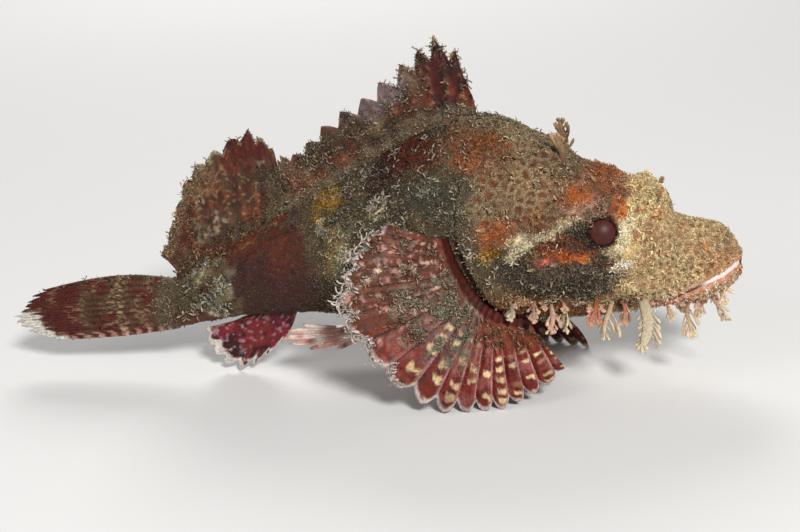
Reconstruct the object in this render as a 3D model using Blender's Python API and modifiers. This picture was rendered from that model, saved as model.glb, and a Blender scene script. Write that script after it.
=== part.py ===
"""Papuan scorpionfish, life size, resting with its head slightly raised.

Metres, +Z up. The snout points to +X and the fish's own right side to -Y.
All sizes below are in millimetres and are scaled once, when a mesh is made.
"""
import bpy
import bmesh
import math
import random
from mathutils import Matrix, Vector
from mathutils.bvhtree import BVHTree

MM = 0.001
GAP = 0.3
GILL_GAP = 0.45
ROOT_GAP = 0.45
NEEDLE = 0.02
NEEDLE_SWEEPS = 4

# Body sections: x, top, bottom, half width, height share of the widest line,
# fullness of the upper half, fullness of the lower half
STATIONS = (
    (-64.0, 27.2, 12.2, 2.9, 0.50, 2.0, 2.0),
    (-56.0, 31.2, 13.6, 4.2, 0.50, 2.0, 2.0),
    (-44.0, 38.5, 15.8, 7.4, 0.47, 1.9, 2.0),
    (-32.0, 45.8, 17.0, 11.2, 0.45, 1.85, 2.1),
    (-21.0, 52.0, 18.0, 14.6, 0.43, 1.8, 2.2),
    (-10.0, 58.3, 17.8, 17.6, 0.42, 1.8, 2.3),
    (1.0, 64.7, 17.0, 19.9, 0.42, 1.8, 2.4),
    (12.0, 70.0, 16.2, 21.5, 0.42, 1.85, 2.4),
    (19.0, 72.3, 16.0, 22.0, 0.42, 1.9, 2.4),
    (28.0, 71.0, 16.3, 22.0, 0.42, 2.0, 2.4),
    (36.0, 67.0, 17.0, 21.4, 0.41, 2.1, 2.4),
    (43.5, 63.4, 17.8, 20.4, 0.40, 2.1, 2.4),
    (53.0, 56.2, 18.8, 18.6, 0.37, 1.75, 2.4),
    (62.0, 55.2, 19.8, 16.6, 0.36, 1.8, 2.4),
    (67.5, 52.6, 20.5, 15.0, 0.37, 2.1, 2.3),
    (70.4, 50.2, 20.9, 14.2, 0.36, 2.1, 2.3),
    (72.2, 44.9, 21.2, 13.6, 0.38, 2.1, 2.2),
    (78.0, 43.6, 21.8, 12.4, 0.36, 1.85, 2.2),
    (83.0, 42.6, 23.2, 10.4, 0.35, 1.85, 2.1),
    (86.5, 39.6, 25.4, 7.8, 0.35, 2.0, 2.0),
    (88.6, 35.6, 27.8, 4.6, 0.35, 2.0, 2.0),
)
SNOUT = (89.6, 31.2)
# Rear edge of the gill cover: angle down from the back in degrees, x
GILL_EDGE = (
    (0.0, 27.0), (25.0, 24.0), (50.0, 20.0), (79.0, 18.3), (87.0, 19.4), (103.0, 22.8),
    (120.0, 26.4), (136.0, 31.2), (150.0, 38.0), (165.0, 44.0), (180.0, 46.5),
)
SIDES = 36
# Half length of a cutter across the fish, and the x and height that it reaches
CUT_HALF = 40.0
CUT_FRONT = 96.0
CUT_FLOOR = -5.0
X_TAIL = -64.0
X_SPLIT = -29.0
X_STRAIGHT = -10.0
X_CHEEK = 62.0
TAIL_ROWS = 7
TRUNK_ROWS = (-29.0, -22.5, -16.0, -10.0)
FLANK_ROWS = 8
CHEEK_ROWS = (0.0, 0.06, 0.14, 0.24, 0.34, 0.44, 0.53, 0.61, 0.68, 0.76, 0.84, 0.92, 1.0)
SNOUT_ROWS = (64.6, 67.0, 69.2, 70.6, 71.6, 72.8, 75.0, 77.2, 79.4, 81.6, 83.8, 85.8, 87.4, 88.5, 89.2)

# Swellings of the skin: x, out, height, reach along x, y and z, amount
SWELLINGS = (
    (54.0, 9.2, 53.4, 6.4, 3.4, 4.5, 4.9),
    (54.0, 0.0, 56.0, 9.0, 4.4, 5.0, -2.2),
    (42.0, 8.4, 62.0, 5.0, 3.2, 3.5, 1.5),
    (33.0, 9.5, 66.5, 4.5, 3.2, 3.5, 1.0),
    (65.8, 5.4, 53.0, 3.4, 2.8, 3.4, 2.2),
    (66.5, 0.0, 53.0, 5.0, 2.6, 4.0, -1.0),
    (47.0, 16.5, 46.0, 3.6, 5.0, 4.6, -1.5),
    (61.6, 14.5, 45.5, 3.2, 5.0, 4.6, -1.5),
    (54.0, 18.0, 36.6, 9.0, 6.0, 2.8, 1.7),
    (53.0, 18.0, 31.0, 8.0, 6.0, 2.8, -1.3),
    (39.5, 20.5, 33.0, 3.0, 7.0, 7.0, 1.4),
    (33.0, 21.0, 35.0, 3.0, 7.0, 8.0, -1.0),
    (38.0, 20.5, 43.0, 6.0, 6.0, 2.6, 1.2),
    (64.5, 16.5, 28.6, 6.5, 6.0, 2.8, 1.8),
    (73.0, 13.0, 31.5, 6.0, 6.0, 3.0, -0.9),
    (84.0, 8.5, 34.5, 4.5, 9.0, 2.4, 1.2),
    (76.0, 9.0, 24.0, 8.0, 6.0, 2.4, 0.6),
    (14.0, 22.0, 37.0, 6.0, 6.0, 9.0, 1.0),
)
GILL_FLARE = 1.2
GILL_FLARE_REACH = 4.5
GILL_FLARE_TURN = 92.0
GILL_FLARE_SPAN = 48.0
SWELLING_END = 9.0

EYE = (54.2, 12.1, 43.1)
EYE_RADIUS = 5.0

# Line of the mouth: x, height, half opening
MOUTH = (
    (96.0, 34.4, 0.35), (87.3, 32.6, 0.5), (84.9, 31.2, 1.25), (81.8, 29.8, 1.1),
    (78.7, 28.4, 0.5), (75.0, 26.6, 0.2), (71.7, 24.9, 0.17), (66.0, 24.1, 0.17),
    (59.5, 24.5, 0.17),
)
LINING_INSET = 0.9
X_LINING = 77.8
LINING_HALF = 0.1

# Fins: rows along each ray, thickness of ray and web, depth of the notch
# between the first and the last tips, thickness of the root as a share
FIN_STYLES = {
    "spiny_dorsal_fin": (4, 1.5, 0.6, 0.30, 0.16, 1.0),
    "soft_dorsal_fin": (4, 1.1, 0.55, 0.10, 0.08, 1.0),
    "anal_fin": (4, 1.2, 0.6, 0.20, 0.10, 1.0),
    "caudal_fin": (5, 1.3, 0.7, 0.05, 0.05, 2.2),
    "pectoral_fin": (5, 1.3, 0.6, 0.04, 0.14, 1.3),
    "pelvic_fin": (5, 1.3, 0.6, 0.06, 0.14, 1.2),
}
# Columns across one web, as shares of it, with the depth of the notch there
WEB_COLUMNS = ((0.0, 0.0), (0.2, 0.18), (0.5, 1.0), (0.8, 0.18))
FIN_TAPER = 0.35
THINNEST = 0.5
# Fins whose lowest points are cut flat at floor level
RESTING = ("anal_fin", "pectoral_fin_left", "pectoral_fin_right")

# Spiny dorsal fin: x of the base, x and height of the tip of each spine
DORSAL_SPINES = (
    (21.8, 19.4, 79.6), (18.6, 17.2, 88.2), (15.4, 11.6, 92.0), (11.6, 7.2, 88.4),
    (7.4, 2.6, 84.9), (2.8, -3.0, 80.2), (-2.0, -8.0, 76.2), (-7.0, -13.8, 73.0),
    (-12.2, -19.2, 69.0), (-17.2, -23.6, 64.6), (-22.0, -27.2, 61.4), (-26.8, -31.0, 61.6),
)
SOFT_DORSAL_RAYS = (
    (-31.0, -32.4, 62.6), (-34.5, -35.4, 66.2), (-38.0, -39.0, 68.0), (-41.5, -44.4, 65.8),
    (-45.0, -49.6, 62.2), (-48.5, -54.4, 58.6), (-52.0, -58.0, 53.8), (-55.4, -60.6, 47.6),
    (-58.6, -62.8, 41.4), (-61.8, -66.2, 33.4),
)
ANAL_RAYS = (
    (-29.5, -34.4, 8.6), (-31.8, -38.6, 4.8), (-34.2, -42.6, 2.0), (-36.6, -46.8, 0.0),
    (-39.0, -50.6, 2.2), (-41.4, -53.6, 5.0), (-43.6, -55.4, 8.4), (-45.6, -55.8, 12.6),
)
# Fins in the middle plane: rays, lean of their bend along x, half width of their
# root, whether on the back
MEDIAN_FINS = (
    ("spiny_dorsal_fin", DORSAL_SPINES, 1.2, 0.8, True),
    ("soft_dorsal_fin", SOFT_DORSAL_RAYS, 1.0, 0.6, True),
    ("anal_fin", ANAL_RAYS, 1.5, 0.6, False),
)
MEDIAN_BEND = 0.55
TAIL_BEND = 15.0
TAIL_SWAY = 0.8
# Tail fin: height of the base and of the bend, x and height of the tip of each ray
TAIL_RAYS = (
    (12.6, 9.3, -98.6, 8.9), (13.8, 11.6, -104.0, 10.0), (15.2, 13.6, -107.2, 11.2),
    (16.6, 15.4, -109.4, 12.6), (18.0, 17.2, -110.6, 14.2), (19.4, 19.0, -110.9, 15.6),
    (20.8, 20.8, -109.8, 17.0), (22.2, 22.8, -108.2, 18.6), (23.6, 24.8, -106.4, 20.2),
    (25.2, 27.0, -104.8, 21.8), (26.8, 29.9, -101.8, 23.4),
)
# Pectoral fin: turn of the first and last root down from the back, distance
# behind the gill edge, then x, out and height of tips spread along the margin
PECTORAL_RAYS = 17
PECTORAL_TURN = (80.0, 152.0)
PECTORAL_BEHIND = 3.4
PECTORAL_STALK = 3.4
PECTORAL_TIPS = (
    (2.6, 29.5, 50.2), (-3.6, 33.0, 46.6), (-7.4, 36.0, 41.0), (-9.4, 37.0, 33.0),
    (-6.4, 37.0, 23.2), (0.8, 34.5, 11.6), (8.8, 31.0, 4.0), (16.0, 28.5, 0.0),
    (22.9, 27.0, 0.0), (29.0, 25.5, 0.0), (34.6, 23.5, 2.4), (39.0, 21.5, 4.4),
    (44.6, 18.0, 8.4),
)
PECTORAL_BULGE = 6.5
PECTORAL_ARCH = 2.0
FAR_SPREAD = 4.5
FAR_SPLAY = 2.7
FAR_DROP = 9.0
FRONT_BEND = 4.5
# Share of the fan from which its lower and its foremost rays begin
LOW_FROM = 0.35
FRONT_FROM = 0.7
# Pelvic fins: x and out of the root, then x, out and height of the tip
PELVIC_RAYS = (
    (2.0, 9.0, -25.0, 8.6, 17.0), (1.4, 10.2, -29.4, 10.4, 15.6), (0.8, 11.4, -30.4, 12.2, 14.2),
    (0.2, 12.4, -28.4, 13.8, 12.8), (-0.4, 13.2, -22.5, 15.0, 12.0), (-1.0, 13.9, -14.5, 15.8, 12.2),
)
PELVIC_SAG = 1.7
PELVIC_STALK = 2.4
PELVIC_BEND = 0.4
# A height well clear of the whole fish
CLEAR = 200.0

# Raised rim round each eye: the way it faces, distance out, ring and tube radius
EYE_FACING = (0.14, 0.95, 0.26)
RIM_OUT = 3.0
RIM_RING = 4.7
RIM_TUBE = 1.05
RIM_STEPS = 18
RIM_SIDES = 6

# Head spines of one side: x, out and height of the foot, then the lean and length
HEAD_SPINES = (
    (64.6, 5.6, 54.6, (0.2, 0.2, 1.0), 2.6), (58.4, 9.8, 57.0, (-0.2, 0.4, 1.0), 2.6),
    (53.0, 10.4, 59.4, (-0.5, 0.3, 1.0), 3.0), (48.6, 10.0, 60.2, (-0.8, 0.3, 0.9), 2.8),
    (41.0, 9.0, 63.4, (-0.9, 0.3, 0.8), 3.2), (33.0, 10.2, 67.4, (-1.0, 0.3, 0.7), 3.2),
    (58.0, 17.6, 37.4, (-0.6, 1.0, 0.0), 2.2), (50.4, 19.6, 37.4, (-0.8, 1.0, 0.0), 2.6),
    (42.6, 20.4, 37.0, (-1.0, 0.9, 0.0), 2.8), (37.6, 20.8, 36.0, (-1.0, 0.8, 0.1), 4.2),
    (37.8, 20.4, 31.4, (-1.0, 0.7, -0.3), 3.2), (39.6, 19.2, 27.0, (-0.8, 0.6, -0.6), 2.8),
    (43.0, 17.4, 23.6, (-0.5, 0.5, -0.9), 2.4), (24.6, 22.4, 46.0, (-1.0, 0.5, 0.2), 3.6),
    (26.6, 22.2, 38.6, (-1.0, 0.6, 0.0), 3.4),
)
SPINE_WIDTH = 0.75
SPINE_TIP = 0.12
CONE_SINK = 1.2

# Skin flaps of one side: x, out and height of the root, then length, width,
# lean along x and number of lobes down each edge
CHEEK_FLAPS = (
    (64.6, 14.6, 26.1, 13.4, 6.4, 0.10, 4), (59.3, 15.4, 25.8, 6.0, 2.6, 0.0, 2),
    (56.8, 16.2, 25.0, 10.0, 5.0, -0.04, 3), (52.9, 16.8, 26.4, 6.4, 4.4, -0.25, 3),
    (45.2, 17.6, 25.4, 7.4, 4.6, 0.06, 3), (41.2, 17.8, 26.2, 7.6, 5.0, -0.06, 3),
    (36.6, 18.4, 28.2, 5.6, 3.4, 0.0, 2), (31.4, 19.2, 27.2, 5.0, 3.0, -0.2, 2),
)
CHIN_FLAPS = (
    (75.6, 9.4, 22.8, 9.4, 3.8, 0.0, 3), (82.0, 7.6, 24.4, 7.4, 3.0, 0.35, 2),
    (70.8, 10.8, 22.2, 4.0, 2.4, 0.0, 2), (79.0, 4.0, 21.8, 4.4, 2.6, 0.1, 2),
)
BROW_FLAP = (45.0, 8.8, 61.4, 7.4, 2.8, -0.16, 2)
NOSE_FLAP = (68.4, 7.0, 50.4, 3.0, 1.8, 0.2, 1)
# Flaps that lie back along the flank
FLANK_FLAPS = (
    (-3.0, 19.0, 52.6, 7.4, 3.0, -1.0, 2), (-17.4, 16.0, 45.0, 6.0, 3.4, -1.0, 2),
    (-9.6, 19.0, 38.4, 5.0, 3.0, -1.0, 2), (7.0, 21.0, 52.0, 4.6, 2.6, -1.0, 2),
)
FLANK_STAND = 0.75
FLAP_STAND = 0.12
FLAP_THICK = 0.7
FLAP_SINK = 1.3
FLAP_TWIST = 0.5
NOSTRIL = (66.6, 8.4, 48.6)
NOSTRIL_TUBE = (0.9, 0.7)
NOSTRIL_LENGTH = 1.2
NOSTRIL_BORE = (0.42, 0.48)
NOSTRIL_REACH = 3.0
DICE = random.Random(11)
SIDES_OF_FISH = (-1.0, 1.0)
DOWN = Vector((0.0, 0.0, -1.0))
UP = Vector((0.0, 0.0, 1.0))
LYING = Vector((0.0, 0.0, -0.25))

# Materials: colour and roughness
LOOKS = {
    "body": ((0.42, 0.24, 0.17), 0.7),
    "head": ((0.52, 0.38, 0.26), 0.7),
    "jaw": ((0.55, 0.33, 0.24), 0.7),
    "lining": ((0.80, 0.74, 0.78), 0.4),
    "fin": ((0.40, 0.14, 0.11), 0.6),
    "eye": ((0.10, 0.03, 0.03), 0.15),
}


def clear_scene():
    for item in list(bpy.data.objects):
        bpy.data.objects.remove(item, do_unlink=True)


def new_collection(name):
    group = bpy.data.collections.new(name)
    bpy.context.scene.collection.children.link(group)
    return group


def material(name, colour, roughness):
    mat = bpy.data.materials.new(name)
    mat.use_nodes = True
    shader = mat.node_tree.nodes["Principled BSDF"]
    shader.inputs["Base Color"].default_value = (*colour, 1.0)
    shader.inputs["Roughness"].default_value = roughness
    shader.inputs["Metallic"].default_value = 0.0
    return mat


def smooth_table(table, x, column):
    """Monotone cubic reading of one column of a table sorted by its first column."""
    x = max(table[0][0], min(table[-1][0], x))
    i = 0
    while i < len(table) - 2 and table[i + 1][0] < x:
        i += 1

    def secant(k):
        return (table[k + 1][column] - table[k][column]) / (table[k + 1][0] - table[k][0])

    def slope(k):
        if k == 0:
            return secant(0)
        if k == len(table) - 1:
            return secant(k - 1)
        before = secant(k - 1)
        after = secant(k)
        if before * after <= 0.0:
            return 0.0
        return 2.0 * before * after / (before + after)

    step = table[i + 1][0] - table[i][0]
    t = (x - table[i][0]) / step
    start = (1.0 + 2.0 * t) * (1.0 - t) ** 2 * table[i][column]
    end = t * t * (3.0 - 2.0 * t) * table[i + 1][column]
    leave = t * (1.0 - t) ** 2 * step * slope(i)
    arrive = t * t * (t - 1.0) * step * slope(i + 1)
    return start + leave + end + arrive


def gill_edge(angle):
    """x of the gill cover's rear edge at an angle down from the back."""
    return smooth_table(GILL_EDGE, abs(math.degrees(angle)), 1)


def signed_power(value, power):
    return math.copysign(abs(value) ** power, value)


def body_point(x, angle, inset=0.0, flare=False):
    """Point of the skin at x, turned by angle from the back toward +Y."""
    top, bottom, width, share, upper, lower = (smooth_table(STATIONS, x, k) for k in range(1, 7))
    middle = bottom + share * (top - bottom)
    c = math.cos(angle)
    s = math.sin(angle)
    fullness = upper if c >= 0.0 else lower
    reach = top - middle if c >= 0.0 else middle - bottom
    y = width * signed_power(s, 2.0 / fullness)
    z = middle + reach * signed_power(c, 2.0 / fullness)
    amount = -inset
    for at_x, at_y, at_z, reach_x, reach_y, reach_z, size in SWELLINGS:
        far = ((x - at_x) / reach_x) ** 2 + ((abs(y) - at_y) / reach_y) ** 2
        far += ((z - at_z) / reach_z) ** 2
        if far < SWELLING_END:
            amount += size * math.exp(-far)
    back = (x - gill_edge(angle)) / GILL_FLARE_REACH
    if flare and back > -0.01:
        turn = abs(math.degrees(angle))
        window = math.exp(-((turn - GILL_FLARE_TURN) / GILL_FLARE_SPAN) ** 4)
        amount += GILL_FLARE * window * math.exp(-back * back)
    outward = Vector((0.0, y, z - middle))
    if outward.length > 0.0:
        outward.normalize()
    return Vector((x, y, z)) + outward * amount


def turns():
    """Angles round a body ring, from the back down the +Y side and up the other."""
    steps = [2.0 * math.pi * k / SIDES for k in range(SIDES)]
    return [a if a <= math.pi else a - 2.0 * math.pi for a in steps]


def loft(name, rings, first, last, group, mat):
    """Closed skin through rings of equal count, with a fan of faces at each end."""
    mesh = bpy.data.meshes.new(name)
    bm = bmesh.new()
    made = []
    for ring in rings:
        made.append([bm.verts.new(p * MM) for p in ring])
    start = bm.verts.new(first * MM)
    end = bm.verts.new(last * MM)
    n = len(rings[0])
    for i in range(len(made) - 1):
        for k in range(n):
            quad = (made[i][k], made[i][(k + 1) % n], made[i + 1][(k + 1) % n], made[i + 1][k])
            bm.faces.new(quad)
    for k in range(n):
        bm.faces.new((start, made[0][(k + 1) % n], made[0][k]))
        bm.faces.new((end, made[-1][k], made[-1][(k + 1) % n]))
    bmesh.ops.recalc_face_normals(bm, faces=bm.faces)
    bmesh.ops.triangulate(bm, faces=bm.faces)
    bm.to_mesh(mesh)
    bm.free()
    return finish(name, mesh, group, mat)


def finish(name, mesh, group, mat):
    obj = bpy.data.objects.new(name, mesh)
    group.objects.link(obj)
    mesh.materials.clear()
    mesh.materials.append(mat)
    mesh.shade_smooth()
    return obj


def straight_ring(x, inset=0.0):
    return [body_point(x, turn, inset) for turn in turns()]


def flank_ring(t):
    """Ring that goes from a straight section at 0 to the gill edge at 1."""
    ring = []
    for turn in turns():
        ring.append(body_point(X_STRAIGHT + t * (gill_edge(turn) - X_STRAIGHT), turn))
    return ring


def cheek_ring(t, inset, flare, shift):
    """Ring that goes from the gill edge at 0 to a straight section at 1."""
    ring = []
    for turn in turns():
        edge = gill_edge(turn)
        p = body_point(edge + t * (X_CHEEK - edge), turn, inset, flare)
        p.x += shift
        ring.append(p)
    return ring


def mean_point(ring):
    total = Vector((0.0, 0.0, 0.0))
    for p in ring:
        total += p
    return total / len(ring)


def make_tail_stock(group, mat):
    rings = []
    for i in range(TAIL_ROWS + 1):
        rings.append(straight_ring(X_TAIL + (X_SPLIT - GAP - X_TAIL) * i / TAIL_ROWS))
    return loft("tail_stock", rings, mean_point(rings[0]), mean_point(rings[-1]), group, mat)


def make_trunk(group, mat):
    rings = [straight_ring(x) for x in TRUNK_ROWS]
    for i in range(1, FLANK_ROWS + 1):
        rings.append(flank_ring(i / FLANK_ROWS))
    return loft("trunk", rings, mean_point(rings[0]), mean_point(rings[-1]), group, mat)


def head_rings(inset):
    """Rings of the head; the gill cover's free edge stands out from a first ring."""
    outer = inset == 0.0
    rings = [cheek_ring(0.0, 0.0, False, GILL_GAP)] if outer else []
    for t in CHEEK_ROWS:
        rings.append(cheek_ring(t, inset, outer, GILL_GAP if t == 0.0 else 0.0))
    for x in SNOUT_ROWS:
        rings.append(straight_ring(x, inset))
    return rings if outer else rings[:-2]


def make_head(name, group, mat, inset=0.0):
    rings = head_rings(inset)
    tip = Vector((SNOUT[0] - inset, 0.0, SNOUT[1]))
    return loft(name, rings, mean_point(rings[0]), tip, group, mat)


def as_cutter(obj):
    obj.hide_render = True
    obj.display_type = "WIRE"
    return obj


def prism(name, outline, group):
    """Cutter with an outline in x and z that passes through the whole width."""
    bm = bmesh.new()
    face = bm.faces.new([bm.verts.new(Vector((x, -CUT_HALF, z)) * MM) for x, z in outline])
    thicken(bm, face, Vector((0.0, 2.0 * CUT_HALF, 0.0)))
    return as_cutter(solid_from(bm, name, group))


def thicken(bm, face, way):
    grown = bmesh.ops.extrude_face_region(bm, geom=[face])
    moved = [v for v in grown["geom"] if isinstance(v, bmesh.types.BMVert)]
    bmesh.ops.translate(bm, verts=moved, vec=way * MM)


def ball(name, centre, radius, segments, rings, group):
    bm = bmesh.new()
    bmesh.ops.create_uvsphere(bm, u_segments=segments, v_segments=rings, radius=radius * MM)
    across = Matrix.Rotation(math.pi / 2.0, 3, "X")
    bmesh.ops.rotate(bm, verts=bm.verts, cent=(0.0, 0.0, 0.0), matrix=across)
    bmesh.ops.translate(bm, verts=bm.verts, vec=Vector(centre) * MM)
    return solid_from(bm, name, group)


def cut(obj, cutter, operation):
    mod = obj.modifiers.new("cut_" + cutter.name, "BOOLEAN")
    mod.object = cutter
    mod.operation = operation
    mod.solver = "EXACT"


def turn_needles(bm):
    """Turns the long edge of each triangle whose third corner almost lies on it."""
    for face in list(bm.faces):
        if not face.is_valid:
            continue
        edge = max(face.edges, key=lambda e: e.calc_length())
        length = edge.calc_length()
        thin = length > 0.0 and 2.0 * face.calc_area() / length < NEEDLE * MM
        if thin and len(edge.link_faces) == 2:
            bmesh.ops.rotate_edges(bm, edges=[edge], use_ccw=False)


def bake(obj):
    """Replaces an object's mesh with its evaluated one, without needle faces."""
    bpy.context.view_layer.update()
    graph = bpy.context.evaluated_depsgraph_get()
    mesh = bpy.data.meshes.new_from_object(obj.evaluated_get(graph))
    obj.modifiers.clear()
    bm = bmesh.new()
    bm.from_mesh(mesh)
    bmesh.ops.remove_doubles(bm, verts=bm.verts, dist=NEEDLE * MM)
    bmesh.ops.dissolve_degenerate(bm, edges=bm.edges, dist=NEEDLE * MM)
    bmesh.ops.triangulate(bm, faces=bm.faces)
    for sweep in range(NEEDLE_SWEEPS):
        turn_needles(bm)
    bm.to_mesh(mesh)
    bm.free()
    obj.data = mesh


def keep_largest(obj):
    """Drops every closed surface of an object but the one with most faces."""
    bm = bmesh.new()
    bm.from_mesh(obj.data)
    left = set(bm.faces)
    shells = []
    while left:
        front = [left.pop()]
        shell = []
        while front:
            face = front.pop()
            shell.append(face)
            for edge in face.edges:
                for other in edge.link_faces:
                    if other in left:
                        left.remove(other)
                        front.append(other)
        shells.append(shell)
    shells.sort(key=len, reverse=True)
    for shell in shells[1:]:
        bmesh.ops.delete(bm, geom=shell, context="FACES")
    bm.to_mesh(obj.data)
    bm.free()


def fuse(obj, pieces, name):
    """Joins a collection of closed pieces to an object by one union."""
    group = new_collection(name)
    for piece in pieces:
        for old in list(piece.users_collection):
            old.objects.unlink(piece)
        group.objects.link(piece)
    mod = obj.modifiers.new("fuse", "BOOLEAN")
    mod.operand_type = "COLLECTION"
    mod.collection = group
    mod.operation = "UNION"
    mod.solver = "EXACT"
    bake(obj)
    keep_largest(obj)
    for piece in pieces:
        bpy.data.objects.remove(piece, do_unlink=True)
    bpy.data.collections.remove(group)


def solid_from(bm, name, group):
    bmesh.ops.recalc_face_normals(bm, faces=bm.faces)
    bmesh.ops.triangulate(bm, faces=bm.faces)
    mesh = bpy.data.meshes.new(name)
    bm.to_mesh(mesh)
    bm.free()
    obj = bpy.data.objects.new(name, mesh)
    group.objects.link(obj)
    return obj


def facing(axis, across):
    """Matrix whose z runs along axis and whose x lies near across."""
    z = axis.normalized()
    x = (across - z * across.dot(z)).normalized()
    y = z.cross(x)
    return Matrix((x, y, z)).transposed()


def cone(foot, lean, length, radii, sides, group):
    """Cone or tube stub with its foot sunk below the skin."""
    bm = bmesh.new()
    depth = (length + CONE_SINK) * MM
    bmesh.ops.create_cone(
        bm, cap_ends=True, segments=sides, radius1=radii[0] * MM, radius2=radii[1] * MM, depth=depth
    )
    axis = lean.normalized()
    matrix = facing(axis, Vector((0.3, 0.9, 0.1))).to_4x4()
    matrix.translation = (foot + axis * (length - CONE_SINK) / 2.0) * MM
    bmesh.ops.transform(bm, verts=bm.verts, matrix=matrix)
    return solid_from(bm, "cone", group)


def flap_outline(length, width, lobes):
    """Outline of a flap: distance down from its root, and out to either side."""
    stem = min(1.0, width * 0.28)
    edge = [(-FLAP_SINK, stem), (0.18 * length, stem)]
    for k in range(lobes):
        lobe = 0.24 + 0.62 * (k + 0.55) / lobes
        notch = 0.24 + 0.62 * (k + 1.0) / lobes
        wide = width / 2.0 * (0.72 + 0.28 * math.sin(math.pi * (k + 0.7) / lobes))
        edge.append((lobe * length, wide))
        if k < lobes - 1:
            edge.append((notch * length, wide * 0.5))
    edge += [(0.84 * length, 0.16 * width), (length, 0.04 * width)]
    other = [(u - 0.04 * length * (k % 2), -v) for k, (u, v) in enumerate(edge)]
    return edge + other[::-1]


def flap(root, hang, face, length, width, lobes, group):
    """Flat skin flap with lobed edges, its root sunk below the skin."""
    along = hang.normalized()
    across = along.cross(face).normalized()
    normal = across.cross(along)
    start = root - normal * FLAP_THICK / 2.0
    bm = bmesh.new()
    verts = []
    for u, v in flap_outline(length, width, lobes):
        verts.append(bm.verts.new((start + along * u + across * v) * MM))
    thicken(bm, bm.faces.new(verts), normal * FLAP_THICK)
    return solid_from(bm, "flap", group)


def flaps(table, tree, hang, stand, group):
    """Flaps of a table on both sides, rooted on the nearest skin."""
    made = []
    for side in SIDES_OF_FISH:
        for x, out, z, length, width, lean, lobes in table:
            root, normal = tree.find_nearest(Vector((x, side * out, z)))[:2]
            way = hang + Vector((lean, 0.0, 0.0)) + normal * stand
            face = Vector((DICE.uniform(-FLAP_TWIST, FLAP_TWIST), side, 0.0))
            size = 1.0 if side < 0.0 else DICE.uniform(0.85, 1.1)
            made.append(flap(root, way, face, length * size, width, lobes, group))
    return made


def surface_tree(objects):
    verts = []
    faces = []
    for obj in objects:
        base = len(verts)
        verts.extend(v.co.copy() / MM for v in obj.data.vertices)
        for poly in obj.data.polygons:
            faces.append([base + k for k in poly.vertices])
    return BVHTree.FromPolygons(verts, faces)


def between(values, t):
    """Linear reading of a list of tuples or vectors at t from 0 to 1."""
    place = max(0.0, min(1.0, t)) * (len(values) - 1)
    i = min(int(place), len(values) - 2)
    f = place - i
    return Vector([a + (b - a) * f for a, b in zip(values[i], values[i + 1])])


def bezier(points, t):
    pts = [p.copy() for p in points]
    while len(pts) > 1:
        pts = [a.lerp(b, t) for a, b in zip(pts, pts[1:])]
    return pts[0]


def fin_columns(rays, notch):
    """Curves across a fin: control points, share of the ray kept, whether a ray."""
    columns = []
    for i in range(len(rays) - 1):
        for f, depth in WEB_COLUMNS:
            points = [a.lerp(b, f) for a, b in zip(rays[i], rays[i + 1])]
            cut_back = notch[0] + (notch[1] - notch[0]) * (i + f) / (len(rays) - 1)
            columns.append((points, 1.0 - cut_back * depth, depth == 0.0))
    columns.append((rays[-1], 1.0, True))
    return columns


def fin(name, style, rays, group, mat):
    """Fin as an open sheet through its rays, thickened so that each ray stands as a ridge.

    rays is a list of control point lists, all of one length, from root to tip.
    """
    rows, ray_thick, web_thick, first_notch, last_notch, root_share = FIN_STYLES[style]
    bm = bmesh.new()
    grid = []
    thicknesses = []
    for points, kept, is_ray in fin_columns(rays, (first_notch, last_notch)):
        column = []
        for r in range(rows + 1):
            t = r / rows
            column.append(bm.verts.new(bezier(points, kept * t) * MM))
            thick = ray_thick if is_ray else web_thick
            thick *= 1.0 - FIN_TAPER * t
            thick *= 1.0 + (root_share - 1.0) * max(0.0, 1.0 - 3.0 * t)
            thicknesses.append(max(THINNEST, thick))
        grid.append(column)
    for left, right in zip(grid, grid[1:]):
        for r in range(rows):
            bm.faces.new((left[r], right[r], right[r + 1], left[r + 1]))
    bmesh.ops.triangulate(bm, faces=bm.faces)
    mesh = bpy.data.meshes.new(name)
    bm.to_mesh(mesh)
    bm.free()
    obj = finish(name, mesh, group, mat)
    thickest = max(thicknesses)
    shares = obj.vertex_groups.new(name="thickness")
    for k, thick in enumerate(thicknesses):
        shares.add([k], thick / thickest, "REPLACE")
    mod = obj.modifiers.new("thickness", "SOLIDIFY")
    mod.thickness = thickest * MM
    mod.offset = 0.0
    mod.vertex_group = shares.name
    mod.thickness_vertex_group = 0.0
    bake(obj)
    if name in RESTING:
        for v in obj.data.vertices:
            v.co.z = max(v.co.z, 0.0)
    return obj


def ridge_height(tree, x, half, upward):
    """Height of the body's edge at x, the outermost of three lines across it."""
    heights = []
    for y in (-half, 0.0, half):
        start = Vector((x, y, CLEAR if upward else -CLEAR))
        hit = tree.ray_cast(start, DOWN if upward else UP)[0]
        if hit is not None:
            heights.append(hit.z)
    return max(heights) if upward else min(heights)


def median_rays(tree, table, lean, half, upward):
    """Rays of a fin in the middle plane, from the body's edge to their tips."""
    rays = []
    for base_x, tip_x, tip_z in table:
        z = ridge_height(tree, base_x, half, upward)
        root = Vector((base_x, 0.0, z + (GAP if upward else -GAP)))
        tip = Vector((tip_x, 0.0, tip_z))
        bend = root.lerp(tip, MEDIAN_BEND)
        bend.x += lean
        rays.append([root, bend, tip])
    return rays


def make_median_fins(tree, group, mat):
    for name, table, lean, half, upward in MEDIAN_FINS:
        fin(name, name, median_rays(tree, table, lean, half, upward), group, mat)


def make_tail_fin(group, mat):
    rays = []
    for base_z, bend_z, tip_x, tip_z in TAIL_RAYS:
        root = Vector((X_TAIL - GAP, 0.0, base_z))
        bend = Vector((X_TAIL - TAIL_BEND, TAIL_SWAY, bend_z))
        rays.append([root, bend, Vector((tip_x, 0.0, tip_z))])
    fin("caudal_fin", "caudal_fin", rays, group, mat)


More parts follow.
